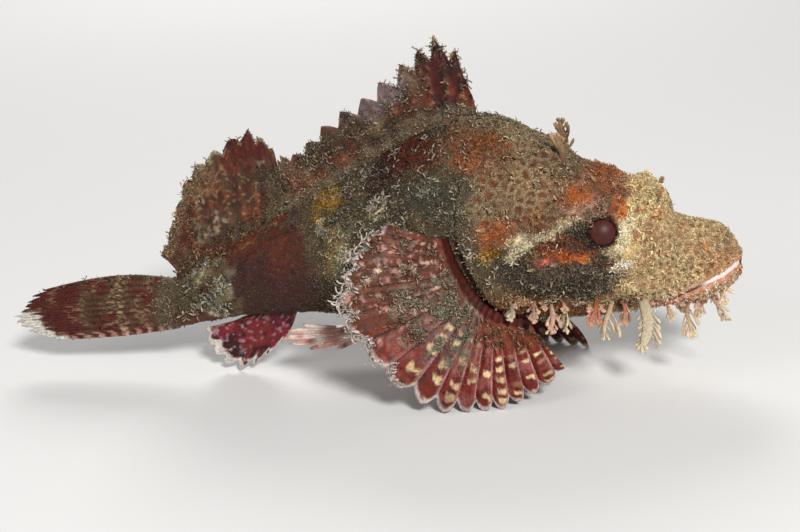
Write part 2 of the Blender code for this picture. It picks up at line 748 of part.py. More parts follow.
def make_pectoral(tree, side, name, group, mat):
    """Fanned fin rooted behind the gill cover; the left one is spread and lowered."""
    rays = []
    first, last = PECTORAL_TURN
    for k in range(PECTORAL_RAYS):
        t = k / (PECTORAL_RAYS - 1)
        turn = math.radians(first + (last - first) * t)
        spot = body_point(gill_edge(turn) - PECTORAL_BEHIND, turn)
        spot.y *= side
        hit, normal = tree.find_nearest(spot)[:2]
        root = hit + normal * ROOT_GAP
        stalk = root + normal * PECTORAL_STALK
        tip = between(PECTORAL_TIPS, t)
        low = max(0.0, t - LOW_FROM) / (1.0 - LOW_FROM)
        front = max(0.0, t - FRONT_FROM) / (1.0 - FRONT_FROM)
        if side > 0.0:
            tip.x += FAR_SPREAD * low
            tip.y += FAR_SPLAY * low
            tip.z = max(0.0, tip.z - FAR_DROP * low)
        tip.y *= side
        bend = stalk.lerp(tip, 0.5) + Vector((0.0, side, 0.0)) * PECTORAL_BULGE
        bend.z += PECTORAL_ARCH * (1.0 - t)
        bend.x += FRONT_BEND * front * front
        rays.append([root, stalk, bend, tip])
    fin(name, "pectoral_fin", rays, group, mat)


def make_pelvic(tree, side, name, group, mat):
    rays = []
    for base_x, base_y, tip_x, tip_y, tip_z in PELVIC_RAYS:
        below = Vector((base_x, side * base_y, -CLEAR))
        hit, normal = tree.ray_cast(below, UP)[:2]
        root = hit + normal * ROOT_GAP
        stalk = root + normal * PELVIC_STALK
        tip = Vector((tip_x, side * tip_y, tip_z))
        bend = root.lerp(tip, PELVIC_BEND) + DOWN * PELVIC_SAG
        rays.append([root, stalk, bend, tip])
    fin(name, "pelvic_fin", rays, group, mat)


def offset_line(line, way):
    return [(x, z + way * half) for x, z, half in line]


def make_jaw(head, group, cutters, mats):
    """Lower jaw and the lining that shows between the lips."""
    rear, rear_z = MOUTH[-1][:2]
    upper = offset_line(MOUTH, 1.0)
    lower = offset_line(MOUTH, -1.0)
    behind = [(rear - GAP, rear_z), (rear - GAP, CUT_FLOOR), (CUT_FRONT, CUT_FLOOR)]
    prism("mouth_cut_head", upper + behind, cutters)
    jaw_cutter = prism("mouth_cut_jaw", lower + [(rear, CUT_FLOOR), (CUT_FRONT, CUT_FLOOR)], cutters)
    jaw = head.copy()
    jaw.data = head.data.copy()
    jaw.name = "lower_jaw"
    group.objects.link(jaw)
    jaw.data.materials.clear()
    jaw.data.materials.append(mats["jaw"])
    cut(jaw, jaw_cutter, "INTERSECT")
    lining = make_head("mouth_lining", group, mats["lining"], LINING_INSET)
    band = [(x, z, max(LINING_HALF, half - GAP)) for x, z, half in MOUTH if x >= X_LINING]
    slit = prism("mouth_slit", offset_line(band, 1.0) + offset_line(band, -1.0)[::-1], cutters)
    cut(lining, slit, "INTERSECT")
    for obj in (jaw, lining):
        bake(obj)
        keep_largest(obj)
    tree = surface_tree((head,))
    fuse(jaw, flaps(CHIN_FLAPS, tree, DOWN, FLAP_STAND, group), "chin_flaps")


def make_eyes(group, cutters, mat):
    for side, name in zip(SIDES_OF_FISH, ("eye_right", "eye_left")):
        centre = (EYE[0], side * EYE[1], EYE[2])
        eye = ball(name, centre, EYE_RADIUS, 12, 9, group)
        eye.data.materials.append(mat)
        eye.data.shade_smooth()
        as_cutter(ball("socket_" + name, centre, EYE_RADIUS + GAP, 16, 10, cutters))


def eye_rim(side, group):
    """Ring of raised skin round one eye."""
    outward = Vector((EYE_FACING[0], side * EYE_FACING[1], EYE_FACING[2])).normalized()
    centre = Vector((EYE[0], side * EYE[1], EYE[2])) + outward * RIM_OUT
    matrix = facing(outward, Vector((1.0, 0.0, 0.0)))
    bm = bmesh.new()
    made = []
    for k in range(RIM_STEPS):
        turn = 2.0 * math.pi * k / RIM_STEPS
        spoke = matrix @ Vector((math.cos(turn), math.sin(turn), 0.0))
        ring = []
        for j in range(RIM_SIDES):
            roll = 2.0 * math.pi * j / RIM_SIDES
            reach = spoke * math.cos(roll) + outward * math.sin(roll)
            ring.append(bm.verts.new((centre + spoke * RIM_RING + reach * RIM_TUBE) * MM))
        made.append(ring)
    for a, b in zip(made, made[1:] + made[:1]):
        for j in range(RIM_SIDES):
            following = (j + 1) % RIM_SIDES
            bm.faces.new((a[j], a[following], b[following], b[j]))
    return solid_from(bm, "eye_rim", group)


def nostril(side, tree):
    return tree.find_nearest(Vector((NOSTRIL[0], side * NOSTRIL[1], NOSTRIL[2])))[:2]


def head_ornaments(tree, group):
    """Eye rims, nostril tubes and head spines of both sides."""
    made = []
    for side in SIDES_OF_FISH:
        made.append(eye_rim(side, group))
        for x, out, z, lean, length in HEAD_SPINES:
            foot = tree.find_nearest(Vector((x, side * out, z)))[0]
            way = Vector((lean[0], side * lean[1], lean[2]))
            made.append(cone(foot, way, length, (SPINE_WIDTH, SPINE_TIP), 4, group))
        foot, normal = nostril(side, tree)
        made.append(cone(foot, normal, NOSTRIL_LENGTH, NOSTRIL_TUBE, 6, group))
    return made


def cut_head(head, tree, cutters):
    """Opens the mouth, the eye sockets and the nostrils."""
    for side in SIDES_OF_FISH:
        foot, normal = nostril(side, tree)
        bore = cone(foot, normal, NOSTRIL_REACH, NOSTRIL_BORE, 5, cutters)
        as_cutter(bore).name = "nostril_bore"
    for cutter in cutters.objects:
        if cutter.name.startswith(("mouth_cut_head", "socket", "nostril")):
            cut(head, cutter, "DIFFERENCE")
    bake(head)
    keep_largest(head)


def head_flaps(tree, group):
    made = flaps(CHEEK_FLAPS, tree, DOWN, FLAP_STAND, group)
    return made + flaps((BROW_FLAP, NOSE_FLAP), tree, UP, FLAP_STAND, group)


def centre_on_floor(group):
    """Puts the middle of the whole fish's box over the origin, with the floor at zero."""
    meshes = [obj.data for obj in group.objects]
    points = [v.co for mesh in meshes for v in mesh.vertices]
    low = [min(p[k] for p in points) for k in range(3)]
    high = [max(p[k] for p in points) for k in range(3)]
    shift = Vector((-(low[0] + high[0]) / 2.0, -(low[1] + high[1]) / 2.0, -low[2]))
    for mesh in meshes:
        mesh.transform(Matrix.Translation(shift))


def main():
    clear_scene()
    group = new_collection("papuan_scorpionfish")
    cutters = new_collection("cutters")
    mats = {name: material(name, *look) for name, look in LOOKS.items()}
    trunk = make_trunk(group, mats["body"])
    stock = make_tail_stock(group, mats["body"])
    head = make_head("head", group, mats["head"])
    body_tree = surface_tree((trunk, stock))
    head_tree = surface_tree((head,))
    fuse(trunk, flaps(FLANK_FLAPS, body_tree, LYING, FLANK_STAND, group), "flank_flaps")
    make_jaw(head, group, cutters, mats)
    make_eyes(group, cutters, mats["eye"])
    fuse(head, head_ornaments(head_tree, group), "head_ornaments")
    cut_head(head, head_tree, cutters)
    fuse(head, head_flaps(head_tree, group), "head_flaps")
    make_median_fins(body_tree, group, mats["fin"])
    make_tail_fin(group, mats["fin"])
    for side, name in zip(SIDES_OF_FISH, ("right", "left")):
        make_pectoral(body_tree, side, "pectoral_fin_" + name, group, mats["fin"])
        make_pelvic(body_tree, side, "pelvic_fin_" + name, group, mats["fin"])
    for cutter in list(cutters.objects):
        bpy.data.objects.remove(cutter, do_unlink=True)
    centre_on_floor(group)


main()
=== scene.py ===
"""Looks of a papuan scorpionfish, life size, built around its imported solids.

Tables hold millimetres in the frame of the part's source. The snout points to +X,
the fish's own right side to -Y and up is +Z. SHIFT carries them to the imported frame.
"""
import math
from itertools import product
import bpy
import numpy as np
from mathutils import Matrix, Vector
from mathutils.bvhtree import BVHTree
from mathutils.kdtree import KDTree


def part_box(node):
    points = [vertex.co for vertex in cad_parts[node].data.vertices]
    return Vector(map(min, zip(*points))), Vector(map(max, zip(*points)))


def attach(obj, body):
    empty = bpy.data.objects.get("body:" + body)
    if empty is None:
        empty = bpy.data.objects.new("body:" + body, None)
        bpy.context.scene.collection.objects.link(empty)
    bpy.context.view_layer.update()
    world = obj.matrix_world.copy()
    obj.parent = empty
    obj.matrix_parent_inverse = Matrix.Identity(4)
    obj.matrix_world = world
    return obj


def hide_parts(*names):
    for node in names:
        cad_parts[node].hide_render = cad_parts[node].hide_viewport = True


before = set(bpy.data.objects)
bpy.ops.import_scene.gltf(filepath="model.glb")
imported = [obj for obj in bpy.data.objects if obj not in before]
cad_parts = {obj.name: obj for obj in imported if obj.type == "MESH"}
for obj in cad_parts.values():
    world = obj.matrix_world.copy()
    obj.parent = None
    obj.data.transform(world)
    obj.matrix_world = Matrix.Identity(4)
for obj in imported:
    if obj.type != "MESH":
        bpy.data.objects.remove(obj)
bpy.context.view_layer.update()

MM = 0.001
DICE = np.random.default_rng(20)
# Centre of the left eye and the way it faces, radius of the ball and of the lids' opening
EYE = (54.2, 12.1, 43.1)
EYE_FACING = (0.14, 0.95, 0.26)
EYE_RADIUS = 5.0
LID_OPENING = 3.25
eye_low, eye_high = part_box("eye_right")
SHIFT = np.array((
    (eye_low.x + eye_high.x) / 2.0 - EYE[0] * MM,
    0.0,
    (eye_low.z + eye_high.z) / 2.0 - EYE[2] * MM,
))
# Raised rim and sunken ring of skin round the eye: radius, reach, height
LID_RIM = (4.3, 0.6, 0.5)
LID_DITCH = (6.0, 0.6, 0.35)
# Smooth rim of the lids: radius and height of its middle, half thickness, steps round
# the eye and round the rim
LID_RADIUS = 3.5
LID_HEIGHT = 3.7
LID_THICK = 0.36
LID_STEPS = 97
LID_ROLL_STEPS = 13
# The ball: steps from front to back and round it, degrees that it covers, and the radii
# of its dark middle and of its dark ring, painted shade where the lids meet the ball
EYE_STEPS = 60
EYE_SIDES = 64
EYE_SPAN = (2.0, 120.0)
EYE_MIDDLE = 0.9
EYE_SHADE_RING = 3.35
# Depth of the skin below the outline that the sections give
COAT_DEPTH = 0.8

# Body sections: x, top, bottom, half width, height share of the widest line,
# fullness of the upper half, fullness of the lower half
STATIONS = np.array((
    (-64.0, 27.2, 12.2, 2.9, 0.50, 2.0, 2.0),
    (-56.0, 31.2, 13.6, 4.2, 0.50, 2.0, 2.0),
    (-44.0, 38.5, 15.8, 7.4, 0.47, 1.9, 2.0),
    (-32.0, 45.8, 17.0, 11.2, 0.45, 1.85, 2.1),
    (-21.0, 52.0, 18.0, 14.6, 0.43, 1.8, 2.2),
    (-10.0, 58.3, 17.8, 17.6, 0.42, 1.8, 2.3),
    (1.0, 64.7, 17.0, 19.9, 0.42, 1.8, 2.4),
    (12.0, 70.0, 16.2, 21.5, 0.42, 1.85, 2.4),
    (19.0, 72.3, 16.0, 22.0, 0.42, 1.9, 2.4),
    (28.0, 71.0, 16.3, 22.0, 0.42, 2.0, 2.4),
    (36.0, 67.0, 17.0, 21.4, 0.41, 2.1, 2.4),
    (43.5, 63.4, 17.8, 20.4, 0.40, 2.1, 2.4),
    (53.0, 56.2, 18.8, 18.6, 0.37, 1.75, 2.4),
    (62.0, 55.2, 19.8, 16.6, 0.36, 1.8, 2.4),
    (67.5, 52.6, 20.5, 15.0, 0.37, 2.1, 2.3),
    (70.4, 50.2, 20.9, 14.2, 0.36, 2.1, 2.3),
    (72.2, 44.9, 21.2, 13.6, 0.38, 2.1, 2.2),
    (78.0, 43.6, 21.8, 12.4, 0.36, 1.85, 2.2),
    (83.0, 42.6, 23.2, 10.4, 0.35, 1.85, 2.1),
    (86.5, 39.6, 25.4, 7.8, 0.35, 2.0, 2.0),
    (88.6, 35.6, 27.8, 4.6, 0.35, 2.0, 2.0),
))
SNOUT = (89.6, 0.0, 31.2)
# Rear edge of the gill cover: angle down from the back in degrees, x
GILL_EDGE = np.array((
    (0.0, 27.0), (25.0, 24.0), (50.0, 20.0), (79.0, 18.3), (87.0, 19.4), (103.0, 22.8),
    (120.0, 26.4), (136.0, 31.2), (150.0, 38.0), (165.0, 44.0), (180.0, 46.5),
))
# Swellings of the skin: x, out, height, reach along x, y and z, amount
SWELLINGS = (
    (54.0, 9.2, 53.4, 6.4, 3.4, 4.5, 4.9),
    (54.0, 0.0, 56.0, 9.0, 4.4, 5.0, -2.2),
    (42.0, 8.4, 62.0, 5.0, 3.2, 3.5, 1.5),
    (33.0, 9.5, 66.5, 4.5, 3.2, 3.5, 1.0),
    (65.8, 5.4, 53.0, 3.4, 2.8, 3.4, 2.2),
    (66.5, 0.0, 53.0, 5.0, 2.6, 4.0, -1.0),
    (47.0, 16.5, 46.0, 3.6, 5.0, 4.6, -1.5),
    (61.6, 14.5, 45.5, 3.2, 5.0, 4.6, -1.5),
    (54.0, 18.0, 36.6, 9.0, 6.0, 2.8, 1.7),
    (53.0, 18.0, 31.0, 8.0, 6.0, 2.8, -1.3),
    (39.5, 20.5, 33.0, 3.0, 7.0, 7.0, 1.4),
    (33.0, 21.0, 35.0, 3.0, 7.0, 8.0, -1.0),
    (38.0, 20.5, 43.0, 6.0, 6.0, 2.6, 1.2),
    (64.5, 16.5, 28.6, 6.5, 6.0, 2.8, 1.8),
    (73.0, 13.0, 31.5, 6.0, 6.0, 3.0, -0.9),
    (84.0, 8.5, 34.5, 4.5, 9.0, 2.4, 1.2),
    (76.0, 9.0, 24.0, 8.0, 6.0, 2.4, 0.6),
    (14.0, 22.0, 37.0, 6.0, 6.0, 9.0, 1.0),
)
GILL_FLARE = 1.2
GILL_FLARE_REACH = 4.5
# Turn round which the gill cover stands free, and how far that reaches, in degrees
GILL_FREE_TURN = 92.0
GILL_FREE_REACH = 48.0
GILL_GROOVE = 1.5
GILL_GROOVE_REACH = 3.0
X_TAIL = -64.0
X_STRAIGHT = -10.0
X_CHEEK = 62.0
# Line of the mouth: x, height, half opening
MOUTH = np.array((
    (59.5, 24.5, 0.10), (66.0, 24.1, 0.10), (71.7, 24.9, 0.10), (75.0, 26.6, 0.1),
    (78.7, 28.4, 0.15), (81.8, 29.8, 0.5), (84.9, 31.2, 0.8), (87.3, 32.6, 0.5),
    (96.0, 34.4, 0.3),
))
MOUTH_TURN = 112.0
# Lip and crease along the mouth: distance from its edge, reach, height above and below it
LIP = (1.3, 0.8, 0.5, 0.45)
CREASE = (3.1, 0.6, 0.45, 0.2)
SKIN_COLUMNS = 280
# Rows of the skin's grid on the flank, from there to the gill cover, on the cheek,
# along the snout and round its tip, and where the last two begin and end
FLANK_ROWS = 84
SHOULDER_ROWS = 60
CHEEK_ROWS = 96
SNOUT_ROWS = 74
SNOUT_REACH = (62.35, 86.8)
TIP_ROWS = 12
TIP_REACH = (87.0, 89.5)
NOISE_CELLS = 32
FAR_FROM_EYE = 99.0
PORE_SPACING = 1.45
PORE_SPREAD = 0.85
PORE_DRAWS = 18000
FILAMENT_RADIUS = 0.125
PAPILLA_WIDTH = 0.24
FRILL_WIDTH = 0.22
# Size on the bake map of one small piece of the coat
BAKE_SPOT = 0.003


def srgb(*levels):
    """Linear colour of 8-bit display levels."""
    v = np.array(levels) / 255.0
    return np.where(v <= 0.04045, v / 12.92, ((v + 0.055) / 1.055) ** 2.4)


def noise(points, size, seed):
    """Smooth random field from -1 to 1 with cells of the given size in millimetres."""
    lattice = np.random.default_rng(seed).uniform(-1.0, 1.0, (NOISE_CELLS,) * 3)
    p = points / size + 16.0 * seed
    cell = np.floor(p).astype(int)
    f = p - cell
    f = f * f * (3.0 - 2.0 * f)
    total = np.zeros(p.shape[:-1])
    for i in (0, 1):
        for j in (0, 1):
            for k in (0, 1):
                weight = f[..., 0] if i else 1.0 - f[..., 0]
                weight = weight * (f[..., 1] if j else 1.0 - f[..., 1])
                weight = weight * (f[..., 2] if k else 1.0 - f[..., 2])
                spot = (cell + (i, j, k)) % NOISE_CELLS
                total += weight * lattice[spot[..., 0], spot[..., 1], spot[..., 2]]
    return total


def clouds(points, size, seed, layers=3):
    """Smooth random field in several layers, each half the size of the last."""
    total = np.zeros(points.shape[:-1])
    for k in range(layers):
        total += noise(points, size * 0.5 ** k, seed + k) * 0.55 ** k
    return total / 1.4


def smooth(value):
    """Values cut to 0 and 1, with a soft start and end between them."""
    value = np.clip(value, 0.0, 1.0)
    return value * value * (3.0 - 2.0 * value)


def ramp_up(value, start, width):
    """Smooth climb from 0 at the start to 1 over the width."""
    return smooth((value - start) / width)


def ramp_down(value, end, width):
    """Smooth fall from 1 to 0 over the width before the end."""
    return smooth((end - value) / width)


def hump(value, centre, reach):
    """Smooth hump round a centre, 1 at its top."""
    return np.exp(-((value - centre) / reach) ** 2)


def unit(vectors):
    """Vectors of the same direction and length 1."""
    return vectors / np.maximum(np.linalg.norm(vectors, axis=-1, keepdims=True), 1e-9)


def mirrored(values, side):
    """A vector of the left side, turned over across the middle where side is -1."""
    return np.array(values) * np.stack((np.ones_like(side), side, np.ones_like(side)), axis=-1)


def mix(base, colour, share):
    """Colours moved toward another by a share from 0 to 1."""
    share = np.asarray(share)[..., None]
    return base * (1.0 - share) + colour * share


def full(shape, name):
    """One named colour over a whole field of points."""
    return np.ones(shape + (3,)) * INK[name]


def read_table(rows, x, column):
    """Monotone cubic reading of a column of a table sorted by its first column."""
    xs = rows[:, 0]
    ys = rows[:, column]
    x = np.clip(x, xs[0], xs[-1])
    i = np.clip(np.searchsorted(xs, x, side="right") - 1, 0, len(xs) - 2)
    step = np.diff(xs)
    secant = np.diff(ys) / step
    slope = np.empty_like(ys)
    slope[0] = secant[0]
    slope[-1] = secant[-1]
    before, after = secant[:-1], secant[1:]
    same = before * after > 0.0
    slope[1:-1] = np.where(same, 2.0 * before * after / np.where(same, before + after, 1.0), 0.0)
    t = (x - xs[i]) / step[i]
    start = (1.0 + 2.0 * t) * (1.0 - t) ** 2 * ys[i] + t * (1.0 - t) ** 2 * step[i] * slope[i]
    end = t * t * (3.0 - 2.0 * t) * ys[i + 1] + t * t * (t - 1.0) * step[i] * slope[i + 1]
    return start + end


def gill_window(turn):
    """How far the gill cover stands free at a turn down from the back, from 0 to 1."""
    return np.exp(-((np.abs(turn) - GILL_FREE_TURN) / GILL_FREE_REACH) ** 4)


def fold_window(turn):
    """How deep the fold in front of the gill cover's edge is at a turn, from 0 to 1."""
    return ramp_up(np.abs(turn), 76.0, 10.0) * ramp_down(np.abs(turn), 166.0, 16.0)


def body_points(x, turn, inset, flare):
    """Points of the body at x, turned from the back toward +Y, in degrees."""
    top, bottom, width, share, upper, lower = (read_table(STATIONS, x, k) for k in range(1, 7))
    middle = bottom + share * (top - bottom)
    c = np.cos(np.radians(turn))
    s = np.sin(np.radians(turn))
    fullness = np.where(c >= 0.0, upper, lower)
    reach = np.where(c >= 0.0, top - middle, middle - bottom)
    y = width * np.sign(s) * np.abs(s) ** (2.0 / fullness)
    z = middle + reach * np.sign(c) * np.abs(c) ** (2.0 / fullness)
    amount = -inset * np.ones_like(x)
    for at_x, at_y, at_z, reach_x, reach_y, reach_z, size in SWELLINGS:
        far = ((x - at_x) / reach_x) ** 2 + ((np.abs(y) - at_y) / reach_y) ** 2
        far += ((z - at_z) / reach_z) ** 2
        amount += size * np.exp(-far)
    back = (x - read_table(GILL_EDGE, np.abs(turn), 1)) / GILL_FLARE_REACH
    amount += flare * GILL_FLARE * gill_window(turn) * np.exp(-back * back)
    outward = unit(np.stack((np.zeros_like(y), y, z - middle), axis=-1))
    return np.stack((x, y, z), axis=-1) + outward * amount[..., None]


def grid_normals(points, closed):
    """Unit normals of a grid of points, and its tangents along rows and columns."""
    down = np.gradient(points, axis=0)
    if closed:
        across = (np.roll(points, -1, axis=1) - np.roll(points, 1, axis=1)) / 2.0
    else:
        across = np.gradient(points, axis=1)
    return unit(np.cross(down, across)), unit(down), unit(across)


def mouth_turn(x):
    """Turn down from the back at which the mouth line crosses the body at x."""
    top, bottom, share, upper, lower = (read_table(STATIONS, x, k) for k in (1, 2, 4, 5, 6))
    middle = bottom + share * (top - bottom)
    height = np.interp(x, MOUTH[:, 0], MOUTH[:, 1]) - middle
    reach = np.where(height >= 0.0, top - middle, middle - bottom)
    fullness = np.where(height >= 0.0, upper, lower)
    share = np.clip(np.abs(height) / reach, 0.0, 1.0) ** (fullness / 2.0)
    return np.clip(np.degrees(np.arccos(np.clip(np.sign(height) * share, -1.0, 1.0))), 14.0, 150.0)


def skin_rows():
    """Rows of the skin: how x follows the gill edge, where, and the fold at that edge.

    Each row is (share of the gill edge, x or offset, lift, flare).
    """
    rows = []
    for x in np.linspace(X_TAIL, X_STRAIGHT, FLANK_ROWS, endpoint=False):
        rows.append((0.0, x, 0.0, 0.0))
    for t in np.linspace(0.0, 1.0, SHOULDER_ROWS):
        rows.append((t, X_STRAIGHT * (1.0 - t), 0.0, 0.0))
    rows.append((1.0, 0.8, -GILL_GROOVE, 0.0))
    rows.append((1.0, 0.4, -0.4, 0.5))
    rows.append((1.0, 0.1, -0.2, 0.8))
    rows.append((1.0, 0.4, 0.0, 1.0))
    for t in np.linspace(0.0, 1.0, CHEEK_ROWS)[1:]:
        rows.append((1.0 - t, 0.4 * (1.0 - t) + X_CHEEK * t, 0.0, 1.0))
    for x in np.concatenate((np.linspace(*SNOUT_REACH, SNOUT_ROWS), np.linspace(*TIP_REACH, TIP_ROWS))):
        rows.append((0.0, x, 0.0, 1.0))
    return np.array(rows)


SKIN_ROWS = len(skin_rows())


def along_mouth(gap, above, form):
    """Height of a fold that follows the mouth, such as a lip."""
    distance, reach, upper, lower = form
    return hump(gap, distance, reach) * np.where(above, upper, lower)


def make_skin_grid():
    """Fine grid of the whole skin, with the fields that the coat and the paint read."""
    half = SKIN_COLUMNS // 2
    down_turns = 180.0 * np.arange(half + 1) / half
    at_mouth = int(round(MOUTH_TURN / 180.0 * half))
    seam_turn = down_turns[at_mouth]
    all_turns = np.concatenate((down_turns, -down_turns[1:-1][::-1]))
    rows = skin_rows()
    follow, offset, drop, flare = (rows[:, k:k + 1] for k in range(4))
    turn = np.broadcast_to(all_turns, (len(rows), SKIN_COLUMNS)).copy()
    edge = read_table(GILL_EDGE, np.abs(turn), 1)
    x = follow * edge + offset
    size = np.abs(turn)
    hat = np.where(size < seam_turn, size / seam_turn, (180.0 - size) / (180.0 - seam_turn))
    bend = ramp_up(x, 52.0, 10.0) * (mouth_turn(x) - seam_turn) * hat
    turn = np.sign(turn) * (size + bend)
    before = hump(edge, x, GILL_GROOVE_REACH) * (flare == 0.0) * (drop == 0.0)
    lift = (drop - GILL_GROOVE * before) * fold_window(turn)
    points = body_points(x, turn, COAT_DEPTH, np.broadcast_to(flare, x.shape))
    normal = grid_normals(points, True)[0]
    points = points + normal * lift[..., None]
    right = SKIN_COLUMNS - at_mouth
    on_left = (np.arange(SKIN_COLUMNS) <= half)[None, :, None]
    seam = np.where(on_left, points[:, at_mouth:at_mouth + 1], points[:, right:right + 1])
    opening = 0.75 * np.interp(x, MOUTH[:, 0], MOUTH[:, 2])
    gap = np.linalg.norm(points - seam, axis=-1) - opening
    above = size < seam_turn
    forward = ramp_up(x, 58.0, 6.0)
    groove = smooth(1.0 - gap / 0.35) * forward
    deep = 0.7 + 1.3 * ramp_up(x, 74.0, 6.0)
    folds = along_mouth(gap, above, LIP) - along_mouth(gap, above, CREASE)
    change = folds * ramp_up(x, 64.0, 6.0) - groove * deep
    points = points + normal * change[..., None]
    return points, x, turn, gap + 9.0 * (1.0 - forward), groove


def set_orbit(points):
    """Sinks the skin behind each eyeball and raises a lid round it."""
    side = np.where(points[..., 1] < 0.0, -1.0, 1.0)
    facing = unit(mirrored(EYE_FACING, side))
    q = points - mirrored(EYE, side)
    axial = (q * facing).sum(axis=-1)
    radial = np.linalg.norm(q - facing * axial[..., None], axis=-1)
    near = (axial > 0.0) & (radial < 9.0)
    ball = np.sqrt(np.maximum(EYE_RADIUS ** 2 - radial ** 2, 0.0))
    sunk = np.where(radial < LID_OPENING, np.minimum(axial, ball - 0.7), axial)
    cover_ball = np.maximum(ball + 0.35 - axial, 0.0) * ramp_down(radial, 5.2, 1.0)
    lid = cover_ball + LID_RIM[2] * hump(radial, *LID_RIM[:2]) - LID_DITCH[2] * hump(radial, *LID_DITCH[:2])
    rise = np.where(radial >= LID_OPENING, lid, 0.0)
    moved = np.where(near, sunk - axial + rise, 0.0)
    return points + facing * moved[..., None], np.where(near, radial, FAR_FROM_EYE)


def scatter_pores(points, weights, spacing, count):
    """Pore centres at least their own spacing apart, drawn where the weights are high."""
    flat = points.reshape(-1, 3)
    apart = spacing.ravel()
    widest = apart.max()
    chance = weights.ravel() / weights.sum()
    picks = DICE.choice(len(flat), size=count, p=chance)
    around = list(product((-1, 0, 1), repeat=3))
    taken = {}
    kept = []
    for k in picks:
        p = flat[k]
        cell = tuple(np.floor(p / widest).astype(int))
        near = [q for i, j, m in around for q in taken.get((cell[0] + i, cell[1] + j, cell[2] + m), ())]
        if all((p[0] - q[0]) ** 2 + (p[1] - q[1]) ** 2 + (p[2] - q[2]) ** 2 >= apart[k] ** 2 for q in near):
            taken.setdefault(cell, []).append(p)
            kept.append(p)
    return np.array(kept)


# Colours as 8-bit display levels
COLOURS = {
    "tan": (160, 130, 94), "sand": (188, 160, 120), "cream": (222, 205, 170), "white": (238, 232, 218),
    "orange": (190, 98, 42), "rust": (130, 60, 34), "salmon": (176, 112, 82), "dark_red": (88, 27, 19),
    "maroon": (78, 37, 30), "purple": (58, 28, 28), "brown": (84, 58, 38), "umber": (42, 28, 20),
    "slate": (76, 65, 57), "grey_green": (106, 92, 68), "pale_green": (142, 138, 114),
    "teal": (92, 92, 78), "mustard": (178, 128, 20), "pink": (178, 104, 96), "lilac": (190, 160, 170),
    "jaw": (190, 134, 102), "red": (116, 40, 33), "blush": (204, 152, 138), "butter": (222, 196, 146),
    # ring is painted shade, the dark where the lids meet the eye
    "plum": (66, 24, 26), "crimson": (134, 36, 46), "eye": (66, 26, 20), "ring": (22, 10, 8),
    "grey_lilac": (126, 106, 108),
}
INK = {name: srgb(*levels) for name, levels in COLOURS.items()}
